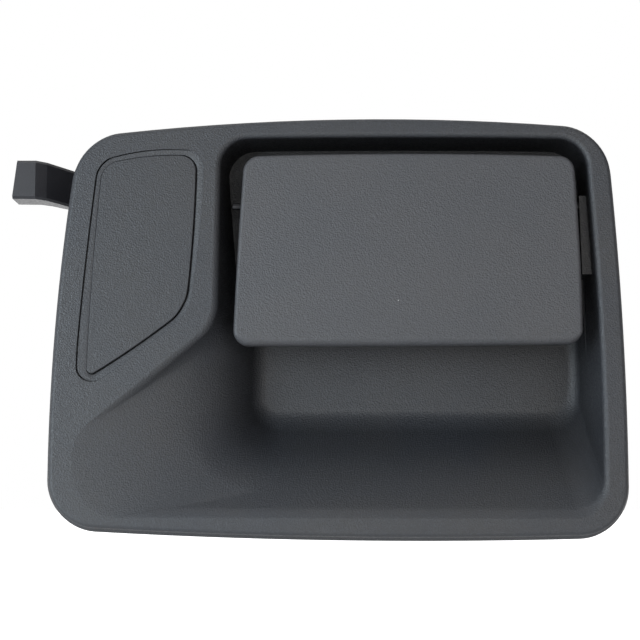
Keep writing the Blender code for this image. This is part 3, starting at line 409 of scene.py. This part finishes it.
def box(name, low, high):
    shape = bmesh.new()
    bmesh.ops.create_cube(shape, size=1.0)
    size = Vector(high) - Vector(low)
    middle = (Vector(high) + Vector(low)) / 2
    shape.transform(Matrix.Translation(middle * MM) @ Matrix.Diagonal((*(size * MM), 1.0)))
    return object_from(name, shape)


def stand_on(place, axis):
    """The matrix that puts a shape made along +Z at a place, along an axis."""
    turn = Vector((0, 0, 1)).rotation_difference(Vector(axis)).to_matrix().to_4x4()
    return Matrix.Translation(Vector(place) * MM) @ turn


def cylinder(name, radius, place, axis, span, sides=48):
    shape = bmesh.new()
    size = radius * MM
    depth = (span[1] - span[0]) * MM
    bmesh.ops.create_cone(shape, cap_ends=True, segments=sides, radius1=size, radius2=size, depth=depth)
    middle = (span[0] + span[1]) / 2 * MM
    shape.transform(stand_on(place, axis) @ Matrix.Translation((0, 0, middle)))
    return object_from(name, shape)


def triangulate(made):
    """Splits every face into triangles, which Booleans handle more safely than large polygons."""
    shape = bmesh.new()
    shape.from_mesh(made.data)
    bmesh.ops.triangulate(shape, faces=shape.faces)
    shape.to_mesh(made.data)
    shape.free()


def combine(base, others, operation):
    """Booleans the other solids into or out of the base, bakes that, and removes them."""
    for other in others:
        triangulate(base)
        triangulate(other)
        step = base.modifiers.new(other.name, "BOOLEAN")
        step.object = other
        step.operation = operation
        step.solver = "EXACT"
        graph = bpy.context.evaluated_depsgraph_get()
        mesh = bpy.data.meshes.new_from_object(base.evaluated_get(graph))
        base.modifiers.clear()
        base.data = mesh
        bpy.data.objects.remove(other, do_unlink=True)
    return base


def add(base, others):
    return combine(base, others, "UNION")


def cut(base, others):
    return combine(base, others, "DIFFERENCE")


def bores(name, places, radius, y_range, sides=32):
    """Round cutters or posts along Y at several places (x, z)."""
    made = []
    for i, (x, z) in enumerate(places):
        made.append(cylinder(f"{name}_{i}", radius, (x, 0, z), Y_AXIS, y_range, sides))
    return made


def check_closed(made):
    """Stops if a Boolean has left the mesh open."""
    shape = bmesh.new()
    shape.from_mesh(made.data)
    loose = sum(len(edge.link_faces) != 2 for edge in shape.edges)
    shape.free()
    if loose:
        raise ValueError(f"{made.name} has {loose} open edges")


def smooth(made, angle=SHADE_ANGLE):
    """Smooth shading up to an angle, with normals that follow the large faces."""
    made.data.shade_smooth()
    made.data.set_sharp_from_angle(angle=math.radians(angle))
    weighted = made.modifiers.new("weighted", "WEIGHTED_NORMAL")
    weighted.keep_sharp = True
    return made


# ------------------------------------------------------------------------------------------------- housing


def bezel_shell():
    """The rim and its skirt: a block with a rolled front edge and a flared foot, hollow from behind."""
    profile = [(-inset, FACE_Y + back) for inset, back in quarter_roll(EDGE_ROLL)]
    shell = loft("bezel_moulding", bezel_loops([*profile, *SKIRT]))
    inside = [(-WALL, FACE_Y + WALL), (-WALL, SKIRT[1][1]), (FOOT_FLARE - WALL, SKIRT[2][1] + 1)]
    inside.append((FOOT_FLARE - WALL, REAR_Y + 3))
    return cut(shell, [loft("hollow", bezel_loops(inside))])


def housing_backs():
    """What stands behind the face: bucket, plate seat, bracket posts, stud bosses and snap ridges."""
    backs = [loft("bucket", recess_loops(WALL))]
    backs.append(slab("seat_pad", plate_outline(SEAT_PAD_GROWTH), (FACE_Y + SINK, SEAT_Y + WALL)))
    backs += bores("post", BRACKET_POSTS, POST_RADIUS, (SEAT_Y + 1, BRACKET_FRONT_Y - GAP))
    for place, radius in zip(MOUNT_STUDS, STUD_BOSS_RADII):
        backs += bores(f"stud_boss_{radius}", [place], radius, (STUD_BOSS_FRONT_Y, REAR_Y))
    for i, x in enumerate(SNAP_RIDGE_STARTS):
        backs.append(side_slab(f"snap_ridge_{i}", SNAP_RIDGE, (x, x + SNAP_RIDGE_WIDTH)))
    return backs


def housing_fronts():
    """What stands up from the deck: the ears that carry the pivot pin, and the bumpers' posts."""
    fronts = [slab("right_ear", RIGHT_EAR, RIGHT_EAR_Y), side_slab("left_ear", LEFT_EAR, LEFT_EAR_X)]
    return fronts + bores("bumper_post", BUMPER_PLACES, BUMPER_POST_RADIUS, (BUMPER_POST_FRONT_Y, DECK_Y + 1))


def housing_holes():
    """The cutters for the pin, the tongue, the bumpers, the plate's studs, the screws and the mounts."""
    holes = [cylinder("pin_bore", PIN_RADIUS + GAP, (0, PIVOT.y, PIVOT.z), X_AXIS, PIN_BORE_X, 32)]
    (left, right), (low, high) = TONGUE_SLOT_X, TONGUE_SLOT_Z
    holes.append(box("tongue_slot", (left, DECK_Y - 1, low), (right, DECK_Y + 5, high)))
    holes += bores("bumper_bore", BUMPER_PLACES, BUMPER_BORE_RADIUS, (-5.0, 2.0))
    holes += bores("plate_bore", PLATE_STUDS, PLATE_BORE_RADIUS, (FACE_Y, 0.0))
    holes += bores("post_bore", BRACKET_POSTS, POST_BORE_RADIUS, (0.0, 14.0))
    for i, (place, start) in enumerate(zip(MOUNT_STUDS, STUD_BORE_STARTS)):
        holes += bores(f"stud_bore_{i}", [place], STUD_RADIUS + GAP, (start, 1.0))
    return holes


def outward(outline, i):
    """The outline's outward direction at a point."""
    before, after = Vector(outline[i - 1]), Vector(outline[(i + 1) % len(outline)])
    along = (after - before).normalized()
    return Vector((along.y, -along.x))


def plate_seat():
    """The cutter for the plate's seat and ledge: a crevice at the left, top and tip, a slope at the right."""
    edge, inner = ledge_outline(), plate_outline()
    outs = [outward(edge, i) for i in range(len(edge))]
    loops = [[(x, y, z) for x, z in ledge_outline(LEDGE_MOUTH)] for y in (FACE_Y - 1, FACE_Y - SKIM)]
    rows = [[] for _ in range(6)]
    middle, to_left, to_top = CREVICE_SIDES
    for (x, z), (inner_x, inner_z), out in zip(edge, inner, outs):
        crevice = min(max(middle - to_left * out.x + to_top * abs(out.y), 0.0), 1.0)
        floor, drop = CREVICE_DEPTH[0] + CREVICE_DEPTH[1] * crevice, LEDGE_DROP + LEDGE_SLOPE * out.x
        width = CREVICE_WIDTH[0] + CREVICE_WIDTH[1] * crevice
        lip = width + CREVICE_LIP
        rows[0].append((x, FACE_Y + LEDGE_STEP, z))
        rows[1].append((x, FACE_Y + floor, z))
        rows[2].append((x - out.x * width, FACE_Y + floor, z - out.y * width))
        rows[3].append((x - out.x * lip, FACE_Y + LEDGE_DEPTH, z - out.y * lip))
        for row, share, depth in ((rows[4], 0.6, 0.5), (rows[5], 0.9, 0.95)):
            y = FACE_Y + LEDGE_DEPTH + (drop - LEDGE_DEPTH) * depth
            row.append((x + (inner_x - x) * share, y, z + (inner_z - z) * share))
    loops += rows
    loops.append([(x, FACE_Y + LEDGE_FOOT + LEDGE_SLOPE * out.x, z) for (x, z), out in zip(inner, outs)])
    loops.append([(x, SEAT_Y, z) for x, z in inner])
    return loft("plate_seat", loops)


def bezel_housing():
    """The housing as one moulding, with everything that stands on it and every hole through it."""
    housing = add(bezel_shell(), housing_backs())
    cut(housing, [loft("recess", recess_loops()), plate_seat()])
    add(housing, housing_fronts())
    cut(housing, housing_holes())
    check_closed(housing)
    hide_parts("bezel_housing")
    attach(housing, HOUSING)
    return smooth(housing)


def lock_plate():
    """The blanking plate, pushed up and to the left in its seat, sunk more and rolled more at the right."""
    centre_x = (PLATE_STUDS[0][0] + PLATE_STUDS[1][0]) / 2
    outline = plate_outline(-PLATE_CLEARANCE)
    outs = [outward(outline, i) for i in range(len(outline))]
    rolls = [PLATE_ROLL + PLATE_ROLL_TILT * (out.x - out.y) for out in outs]
    rolls = [min(max(roll, PLATE_LEAST_ROLL), 1.0) for roll in rolls]
    loops = []
    for inset, back in [*quarter_roll(PLATE_EDGE, 4), (0.0, PLATE_THICK - 0.55)]:
        loop = []
        for (x, z), out, roll in zip(outline, outs, rolls):
            x, z = x - PLATE_SHIFT_X - out.x * inset * roll, z + PLATE_SHIFT_Z - out.y * inset * roll
            depth = back * roll if back <= PLATE_EDGE else back
            loop.append((x, FACE_Y + PLATE_SUNK + depth + PLATE_TILT * (x - centre_x), z))
        loops.append(loop)
    plate = loft("lock_plate_moulding", loops)
    stud_y = (FACE_Y + PLATE_THICK - 1, PLATE_STUD_END_Y)
    add(plate, bores("plate_stud", PLATE_STUDS, PLATE_STUD_RADIUS, stud_y))
    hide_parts("lock_blanking_plate")
    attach(plate, HOUSING)
    return smooth(plate)


def paddle():
    """The paddle's cap, rolled over more at its lower edge than at the others."""
    edge = paddle_outline()
    outs = [outward(edge, i) for i in range(len(edge))]
    lower = [min(max(-1.5 * out.y - 0.3, 0.0), 1.0) for out in outs]
    rolls = [PADDLE_ROLL * (PADDLE_SIDE_ROLL + (1 - PADDLE_SIDE_ROLL) * share) for share in lower]
    loops = []
    for inset, back in quarter_roll(1.0, 10):
        loop = []
        for (x, z), out, roll in zip(edge, outs, rolls):
            loop.append((x - out.x * inset * roll, PADDLE_FRONT_Y + back * roll, z - out.y * inset * roll))
        loops.append(loop)
    loops.append([(x, PADDLE_REAR_Y, z) for x, z in paddle_outline(-0.2)])
    for y in (PADDLE_REAR_Y, PADDLE_CAVITY_Y):
        loops.append([(x, y, z) for x, z in paddle_outline(-PADDLE_WALL)])
    cap = loft("paddle_moulding", loops)
    cut(cap, bores("paddle_bore", PADDLE_SCREWS, PADDLE_SCREW_BORE, (-12.0, -8.0)))
    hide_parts("paddle")
    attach(cap, PADDLE)
    return smooth(cap)


# ----------------------------------------------------------------------------------------- springs and studs


def wire(name, points, radius):
    """A round wire through points, with filled ends."""
    curve = bpy.data.curves.new(name, "CURVE")
    curve.dimensions = "3D"
    spline = curve.splines.new("POLY")
    spline.points.add(len(points) - 1)
    for target, point in zip(spline.points, points):
        target.co = (*(Vector(point) * MM), 1.0)
    curve.bevel_depth = radius * MM
    curve.bevel_resolution = 4
    curve.use_fill_caps = True
    drawn = bpy.data.objects.new(name + "_path", curve)
    bpy.context.scene.collection.objects.link(drawn)
    bpy.context.view_layer.update()
    return object_from(name, mesh_of(drawn))


def coil(first, start, towards, along, spring, steps=40):
    """Points along a coil round a first centre: it starts on one side and turns towards another."""
    points = []
    for k in range(round(spring["turns"] * steps) + 1):
        angle = 2 * math.pi * k / steps
        across = Vector(start) * math.cos(angle) + Vector(towards) * math.sin(angle)
        points.append(Vector(first) + across * spring["radius"] + Vector(along) * spring["pitch"] * k / steps)
    return points


def eased(points, reach, steps=5):
    """The path with each inner corner rounded by a short curve that starts at most the reach away."""
    points = [Vector(point) for point in points]
    path = [points[0]]
    for before, corner, after in zip(points, points[1:], points[2:]):
        near = corner.lerp(before, min(reach / (before - corner).length, 0.45))
        far = corner.lerp(after, min(reach / (after - corner).length, 0.45))
        for k in range(steps + 1):
            share = k / steps
            path.append(near.lerp(corner, share).lerp(corner.lerp(far, share), share))
    return [*path, points[-1]]


def paddle_spring():
    """The torsion spring on the pivot pin. It winds up as the paddle turns: one leg stays on the deck."""
    spring = PADDLE_SPRING
    x, radius, reach = spring["x"], spring["radius"], GAP + spring["wire"] + 0.1
    deck_y, carrier_y = DECK_Y - reach, CARRIER_REAR_Y + reach
    low_z = PIVOT.z - radius
    turns = coil((x, PIVOT.y, PIVOT.z), (0, 0, -1), OUT_AXIS, X_AXIS, spring)
    end_x = turns[-1].x
    start = [(x, deck_y, spring["legs_z"][0]), (x, deck_y, low_z + 1.5), (x, deck_y - 1.5, low_z), turns[0]]
    finish = [turns[-1], (end_x, PIVOT.y - radius - 0.2, low_z + 0.2), (end_x, carrier_y, PIVOT.z - 0.5)]
    finish.append((end_x, carrier_y, spring["legs_z"][1]))
    path = [*eased(start, spring["bend"]), *turns[1:-1], *eased(finish, spring["bend"])]
    made = wire("paddle_spring_wire", path, spring["wire"])
    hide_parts("paddle_spring")
    smooth(made, WIRE_SHADE_ANGLE)
    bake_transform(made)
    return made


def lever_spring():
    """The return spring round the lever's hub. It winds up as the lever turns: one leg stays put."""
    spring = RETURN_SPRING
    x, z, y, radius = LEVER_PIVOT.x, LEVER_PIVOT.z, spring["y"], spring["radius"]
    turns = coil((x, y, z), (0, 0, -1), (-1, 0, 0), Y_AXIS, spring)
    end_y = turns[-1].y
    tab_z = TAB_TOP_Z + GAP + spring["wire"]
    start = [(x + 1.6, y, tab_z), (x + 9.5, y, tab_z), (x + 10.5, y, tab_z + 1.2)]
    start += [(x + 7.0, y, z - radius + 1.0), turns[0]]
    hook_x, hook_z = spring["hook"]
    finish = [turns[-1], (x - 3.5, end_y, z + radius + 0.9), (hook_x, end_y, hook_z)]
    finish += [(hook_x - 0.8, end_y + 0.9, hook_z), (hook_x - 0.8, LEVER_ARM_REAR_Y - 1.5, hook_z)]
    path = [*eased(start, spring["bend"]), *turns[1:-1], *eased(finish, spring["bend"])]
    made = wire("lever_spring_wire", path, spring["wire"])
    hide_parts("lever_spring")
    smooth(made, WIRE_SHADE_ANGLE)
    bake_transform(made)
    return made


def threaded_stud(index, side):
    """A stud with a true helical thread outside the housing, and a chamfered end."""
    (x, z), start = MOUNT_STUDS[index], STUD_STARTS[index]
    sides, loops = 32, []
    rows = [(start, STUD_RADIUS - STUD_HEAD_CHAMFER), (start + STUD_CHAMFER, STUD_RADIUS)]
    rows.append((THREAD_START_Y, STUD_RADIUS))
    count = round((STUD_END_Y - STUD_CHAMFER) / (STUD_PITCH / THREAD_STEPS))
    rows += [(k * STUD_PITCH / THREAD_STEPS, None) for k in range(count + 1)]
    rows.append((STUD_END_Y, STUD_RADIUS - STUD_END_CHAMFER))
    for y, radius in rows:
        loop = []
        for k in range(sides):
            angle = 2 * math.pi * k / sides
            phase = (y / STUD_PITCH - k / sides) % 1.0
            fade = min(y / STUD_PITCH, (STUD_END_Y - y) / STUD_PITCH, 1.0)
            depth = THREAD_DEPTH * (1 - abs(2 * phase - 1)) * fade
            reach = radius or STUD_RADIUS - max(depth, 0.0)
            loop.append((x + reach * math.cos(angle), y, z + reach * math.sin(angle)))
        loops.append(loop)
    stud = loft(f"threaded_stud_{side}", loops)
    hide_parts(f"mounting_stud_{side}")
    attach(stud, HOUSING)
    return smooth(stud, THREAD_SHADE_ANGLE)


# ------------------------------------------------------------------------------------------------ materials


def new_material(name, colour, roughness, metallic=0.0):
    """A material with its node tree, its shader and the object's own coordinates."""
    material = bpy.data.materials.new(name)
    material.use_nodes = True
    tree = material.node_tree
    shader = tree.nodes["Principled BSDF"]
    shader.inputs["Base Color"].default_value = (*colour, 1.0)
    shader.inputs["Roughness"].default_value = roughness
    shader.inputs["Metallic"].default_value = metallic
    where = tree.nodes.new("ShaderNodeTexCoord")
    return material, tree, shader, where.outputs["Object"]


def noise(tree, where, scale, detail=2.0, roughness=0.5):
    node = tree.nodes.new("ShaderNodeTexNoise")
    node.inputs["Scale"].default_value = scale
    node.inputs["Detail"].default_value = detail
    node.inputs["Roughness"].default_value = roughness
    tree.links.new(where, node.inputs["Vector"])
    return node.outputs["Fac"]


def spread(tree, value, low, high, to_low, to_high):
    """A value's range mapped to another, clamped."""
    node = tree.nodes.new("ShaderNodeMapRange")
    node.inputs["From Min"].default_value = low
    node.inputs["From Max"].default_value = high
    node.inputs["To Min"].default_value = to_low
    node.inputs["To Max"].default_value = to_high
    tree.links.new(value, node.inputs["Value"])
    return node.outputs["Result"]


def mottled(tree, where, scale, detail, span, ends=(0.0, 1.0), roughness=0.5):
    """Noise of a scale, with a span of its values mapped to the ends."""
    return spread(tree, noise(tree, where, scale, detail, roughness), *span, *ends)


def blend_colours(tree, share, first, second):
    """Two colours mixed by a share. Each is a colour or a socket."""
    node = tree.nodes.new("ShaderNodeMix")
    node.data_type = "RGBA"
    tree.links.new(share, node.inputs["Factor"])
    for socket, colour in zip(("A", "B"), (first, second)):
        target = next(s for s in node.inputs if s.name == socket and s.type == "RGBA")
        if isinstance(colour, bpy.types.NodeSocket):
            tree.links.new(colour, target)
        else:
            target.default_value = (*colour, 1.0)
    return next(s for s in node.outputs if s.type == "RGBA")


def bump(tree, shader, heights):
    """Bumps in a chain: (height, distance in metres, strength) from the coarsest to the finest."""
    normal = None
    for height, distance, strength in heights:
        node = tree.nodes.new("ShaderNodeBump")
        node.inputs["Distance"].default_value = distance
        node.inputs["Strength"].default_value = strength
        tree.links.new(height, node.inputs["Height"])
        if normal:
            tree.links.new(normal, node.inputs["Normal"])
        normal = node.outputs["Normal"]
    tree.links.new(normal, shader.inputs["Normal"])


# Painted shade: mouldings are darkened to near black where ambient occlusion finds hollows and crevices;
# elsewhere they keep their own dark grey.
PAINTED_SHADE_COLOUR, PAINTED_SHADE_REACH = (0.004, 0.004, 0.005), 0.05
PIT_SCALE, FINE_SCALE, DUST_SCALE = 1700.0, 2300.0, 42.0
DUST, RUBBED = (0.45, 0.45, 0.43), 1.6


def worn_edges(tree, where, reach):
    """A share that is high along sharp edges, broken up by noise."""
    edge = tree.nodes.new("ShaderNodeBevel")
    edge.samples = 4
    edge.inputs["Radius"].default_value = reach
    shape = tree.nodes.new("ShaderNodeNewGeometry")
    turn = tree.nodes.new("ShaderNodeVectorMath")
    turn.operation = "DOT_PRODUCT"
    tree.links.new(edge.outputs["Normal"], turn.inputs[0])
    tree.links.new(shape.outputs["Normal"], turn.inputs[1])
    both = tree.nodes.new("ShaderNodeMath")
    both.operation = "MULTIPLY"
    tree.links.new(spread(tree, turn.outputs["Value"], 0.97, 0.86, 0.0, 1.0), both.inputs[0])
    tree.links.new(mottled(tree, where, 600.0, 3.0, (0.42, 0.6), roughness=0.6), both.inputs[1])
    return both.outputs["Value"]


def moulded(name, colour, tint, roughness, grain):
    """Moulded plastic: a fine spark-eroded grain, cloudy colour, rubbed edges, a few dust specks, and painted
    shade in hollows.
    """
    material, tree, shader, where = new_material(name, colour, roughness)
    clouds = mottled(tree, where, 28.0, 3.0, (0.35, 0.65))
    body = blend_colours(tree, clouds, colour, tint)
    pits = tree.nodes.new("ShaderNodeTexVoronoi")
    pits.inputs["Scale"].default_value = PIT_SCALE
    tree.links.new(where, pits.inputs["Vector"])
    fine = noise(tree, where, FINE_SCALE, 2.0, 0.7)
    light = tuple(c * RUBBED for c in colour)
    speckled = blend_colours(tree, spread(tree, fine, 0.50, 0.66, 0.0, 0.9), body, light)
    dust = tree.nodes.new("ShaderNodeTexVoronoi")
    dust.inputs["Scale"].default_value = DUST_SCALE
    tree.links.new(where, dust.inputs["Vector"])
    specks = spread(tree, dust.outputs["Distance"], 0.006, 0.011, 1.0, 0.0)
    rubbed = blend_colours(tree, worn_edges(tree, where, 0.0005), speckled, light)
    dusted = blend_colours(tree, specks, rubbed, DUST)
    # Painted shade: ambient occlusion darkens the colour in hollows, crevices and under the paddle.
    occlusion_shade = tree.nodes.new("ShaderNodeAmbientOcclusion")
    occlusion_shade.samples = 4
    occlusion_shade.inputs["Distance"].default_value = PAINTED_SHADE_REACH
    deep = spread(tree, occlusion_shade.outputs["AO"], 0.8, 0.3, 0.0, 0.92)
    painted = blend_colours(tree, deep, dusted, PAINTED_SHADE_COLOUR)
    tree.links.new(painted, shader.inputs["Base Color"])
    rough = mottled(tree, where, 900.0, 2.0, (0.3, 0.7), (roughness - 0.07, roughness + 0.07))
    tree.links.new(rough, shader.inputs["Roughness"])
    bump(tree, shader, [(pits.outputs["Distance"], grain, 0.55), (fine, grain, 0.5)])
    return material


def metal(name, colour, dull, roughness, grain=0.00001, scale=700.0):
    """Plated or drawn steel: cloudy plating, fine lines of grain and dull patches."""
    material, tree, shader, where = new_material(name, colour, roughness, 1.0)
    clouds = mottled(tree, where, 180.0, 4.0, (0.35, 0.7))
    plated = blend_colours(tree, clouds, colour, dull)
    polished = tuple(min(c * 1.5, 0.8) for c in colour)
    worn = blend_colours(tree, worn_edges(tree, where, 0.0003), plated, polished)
    tree.links.new(worn, shader.inputs["Base Color"])
    rough = mottled(tree, where, 420.0, 3.0, (0.3, 0.7), (roughness - 0.08, roughness + 0.12))
    tree.links.new(rough, shader.inputs["Roughness"])
    bump(tree, shader, [(noise(tree, where, scale, 3.0, 0.65), grain, 0.6)])
    return material


def rubber(name):
    """Black rubber with a dusty bloom."""
    material, tree, shader, where = new_material(name, (0.016, 0.016, 0.016), 0.8)
    dusty = mottled(tree, where, 160.0, 4.0, (0.5, 0.8), (0.0, 0.6))
    body = blend_colours(tree, dusty, (0.014, 0.014, 0.014), (0.05, 0.05, 0.048))
    tree.links.new(body, shader.inputs["Base Color"])
    rough = mottled(tree, where, 500.0, 2.0, (0.3, 0.7), (0.65, 0.9))
    tree.links.new(rough, shader.inputs["Roughness"])
    bump(tree, shader, [(noise(tree, where, 1200.0, 3.0), 0.00002, 0.5)])
    return material


def nylon(name):
    """Natural nylon, slightly translucent and cloudy."""
    material, tree, shader, where = new_material(name, (0.62, 0.60, 0.52), 0.45)
    shader.inputs["Subsurface Weight"].default_value = 0.15
    shader.inputs["Subsurface Radius"].default_value = (0.002, 0.0018, 0.0012)
    clouds = mottled(tree, where, 220.0, 3.0, (0.3, 0.7))
    body = blend_colours(tree, clouds, (0.64, 0.62, 0.54), (0.55, 0.53, 0.45))
    tree.links.new(body, shader.inputs["Base Color"])
    rough = mottled(tree, where, 700.0, 2.0, (0.3, 0.7), (0.38, 0.55))
    tree.links.new(rough, shader.inputs["Roughness"])
    bump(tree, shader, [(noise(tree, where, 1500.0, 2.0), 0.00001, 0.4)])
    return material


def paint(material, *pieces):
    for piece in pieces:
        piece.data.materials.clear()
        piece.data.materials.append(material)


def soften(node, width, shade=SHADE_ANGLE, angle=40.0):
    """A small bevel and smooth shading up to an angle on a CAD node that stays."""
    edges = node.modifiers.new("edges", "BEVEL")
    edges.width = width * MM
    edges.segments = 2
    edges.limit_method = "ANGLE"
    edges.angle_limit = math.radians(angle)
    return smooth(node, shade)


# --------------------------------------------------------------------------------------------------- stage


def environment():
    """Soft surroundings: bright level with the handle and overhead, dim between, and white to the camera."""
    world = bpy.data.worlds.new("studio")
    bpy.context.scene.world = world
    world.use_nodes = True
    tree = world.node_tree
    background = tree.nodes["Background"]
    where = tree.nodes.new("ShaderNodeTexCoord")
    parts = tree.nodes.new("ShaderNodeSeparateXYZ")
    tree.links.new(where.outputs["Generated"], parts.inputs["Vector"])
    bands = tree.nodes.new("ShaderNodeValToRGB")
    bands.color_ramp.interpolation = "EASE"
    for place, bright in SKY_BANDS:
        ends = [stop for stop in bands.color_ramp.elements if abs(stop.position - place) < 0.001]
        stop = ends[0] if ends else bands.color_ramp.elements.new(place)
        stop.color = (bright, bright, bright, 1.0)
    tree.links.new(spread(tree, parts.outputs["Z"], -1.0, 1.0, 0.0, 1.0), bands.inputs["Fac"])
    rightward = spread(tree, parts.outputs["X"], *SIDES_DARK, 0.0, 1.0)
    leftward = spread(tree, parts.outputs["X"], -SIDES_DARK[0], -SIDES_DARK[1], 0.0, 1.0)
    sides = blend_colours(tree, rightward, (1.0, 1.0, 1.0), SKY_RIGHT)
    sides = blend_colours(tree, leftward, sides, SKY_LEFT)
    tone = tree.nodes.new("ShaderNodeVectorMath")
    tone.operation = "MULTIPLY"
    tree.links.new(bands.outputs["Color"], tone.inputs[0])
    tree.links.new(sides, tone.inputs[1])
    tone = tone.outputs["Vector"]
    behind = spread(tree, parts.outputs["Y"], *BEHIND_FADE, 0.0, 1.0)
    tone = blend_colours(tree, behind, tone, SKY_BEHIND)
    seen = tree.nodes.new("ShaderNodeLightPath")
    tone = blend_colours(tree, seen.outputs["Is Camera Ray"], tone, (1.0, 1.0, 1.0))
    tree.links.new(tone, background.inputs["Color"])


def soft_light(name, place, aim, size, power, colour):
    """A round area light at a place, facing its aim."""
    data = bpy.data.lights.new(name, "AREA")
    data.shape = "DISK"
    data.size = size
    data.energy = power
    data.color = colour
    made = bpy.data.objects.new(name, data)
    bpy.context.scene.collection.objects.link(made)
    made.location = place
    made.rotation_euler = (Vector(aim) - Vector(place)).to_track_quat("-Z", "Y").to_euler()


def studio():
    """A pale floor well below the handle, soft surroundings, a cool key at the left and a warm fill below."""
    environment()
    soft_light("key", KEY_PLACE, KEY_AIM, KEY_SIZE, KEY_POWER, KEY_COLOUR)
    soft_light("warm_fill", FILL_PLACE, FILL_AIM, FILL_SIZE, FILL_POWER, FILL_COLOUR)
    shape = bmesh.new()
    bmesh.ops.create_grid(shape, x_segments=8, y_segments=8, size=FLOOR_SIZE)
    floor = object_from("floor", shape)
    floor.location = (0, 0, FLOOR_Z)
    material, tree, shader, where = new_material("pale_floor", FLOOR_TONE, 0.6)
    mottle = mottled(tree, where, 3.0, 3.0, (0.3, 0.7))
    tree.links.new(blend_colours(tree, mottle, FLOOR_TONE, FLOOR_MOTTLE), shader.inputs["Base Color"])
    # Painted light: the floor glows, strongly far behind the handle and faintly beneath it.
    shader.inputs["Emission Color"].default_value = (1, 1, 1, 1)
    across = tree.nodes.new("ShaderNodeSeparateXYZ")
    tree.links.new(where, across.inputs["Vector"])
    glow = spread(tree, across.outputs["Y"], *FLOOR_GLOW_Y, *FLOOR_GLOW)
    tree.links.new(glow, shader.inputs["Emission Strength"])
    paint(material, floor)


def camera():
    """Below and in front, looking slightly up at the handle."""
    data = bpy.data.cameras.new("camera")
    made = bpy.data.objects.new("camera", data)
    bpy.context.scene.collection.objects.link(made)
    data.sensor_width = CAMERA_SENSOR
    data.lens = CAMERA_LENS
    made.location = CAMERA_PLACE
    made.rotation_euler = (math.radians(CAMERA_PITCH), 0, 0)
    bpy.context.scene.camera = made


# ------------------------------------------------------------------------------------------------ assembly

bezel, plate, cap = bezel_housing(), lock_plate(), paddle()
springs = [paddle_spring(), lever_spring()]
studs = [threaded_stud(0, "left"), threaded_stud(1, "right")]
nodes = frame["nodes"]
bezel_black = moulded("bezel_black", (0.0285, 0.031, 0.0365), (0.0335, 0.0340, 0.0365), 0.46, 0.00019)
paddle_black = moulded("paddle_black", (0.048, 0.050, 0.056), (0.054, 0.054, 0.058), 0.45, 0.00023)
lever_black = moulded("lever_black", (0.014, 0.014, 0.018), (0.017, 0.017, 0.020), 0.40, 0.00002)
zinc = metal("zinc_plate", (0.55, 0.56, 0.58), (0.42, 0.43, 0.44), 0.35)
dark_steel = metal("blackened_steel", (0.060, 0.060, 0.064), (0.035, 0.035, 0.037), 0.42)
spring_steel = metal("spring_steel", (0.35, 0.35, 0.37), (0.25, 0.25, 0.27), 0.3)
cast = metal("cast_alloy", (0.20, 0.20, 0.21), (0.13, 0.13, 0.14), 0.55, 0.00004, 900.0)
gasket_rubber, white_nylon = rubber("gasket_rubber"), nylon("natural_nylon")
paint(bezel_black, bezel, plate)
paint(paddle_black, cap)
paint(spring_steel, *springs)
paint(zinc, *studs)

# The CAD pieces that stay: (node, material, edge radius).
CARRIED = [("release_lever", lever_black, 0.35), ("perimeter_gasket", gasket_rubber, 0.4)]
CARRIED += [(f"paddle_bumper_{side}", gasket_rubber, 0.3) for side in ("left", "right")]
CARRIED += [("lever_bush", white_nylon, 0.12), ("lever_bracket", zinc, 0.2), ("lever_pivot_pin", zinc, 0.15)]
CARRIED += [("paddle_pivot_pin", dark_steel, 0.1), ("paddle_carrier", cast, 0.4)]
CARRIED += [(name, spring_steel, 0.08) for name in ("lever_pin_clip", "pivot_pin_clip")]
CARRIED += [(f"plate_push_nut_{i}", spring_steel, 0.1) for i in (1, 2)]
CARRIED += [(f"mounting_nut_{side}", zinc, 0.2) for side in ("left", "right")]
CARRIED += [(f"bracket_screw_{i}", zinc, 0.1) for i in (1, 2, 3)]
CARRIED += [(f"carrier_screw_{side}", zinc, 0.1) for side in ("left", "right")]
for name, finish, edge in CARRIED:
    paint(finish, nodes[name])
    soften(nodes[name], edge, LEVER_SHADE_ANGLE if name == "release_lever" else SHADE_ANGLE)

studio()
camera()
bpy.context.scene.view_settings.view_transform = "Standard"
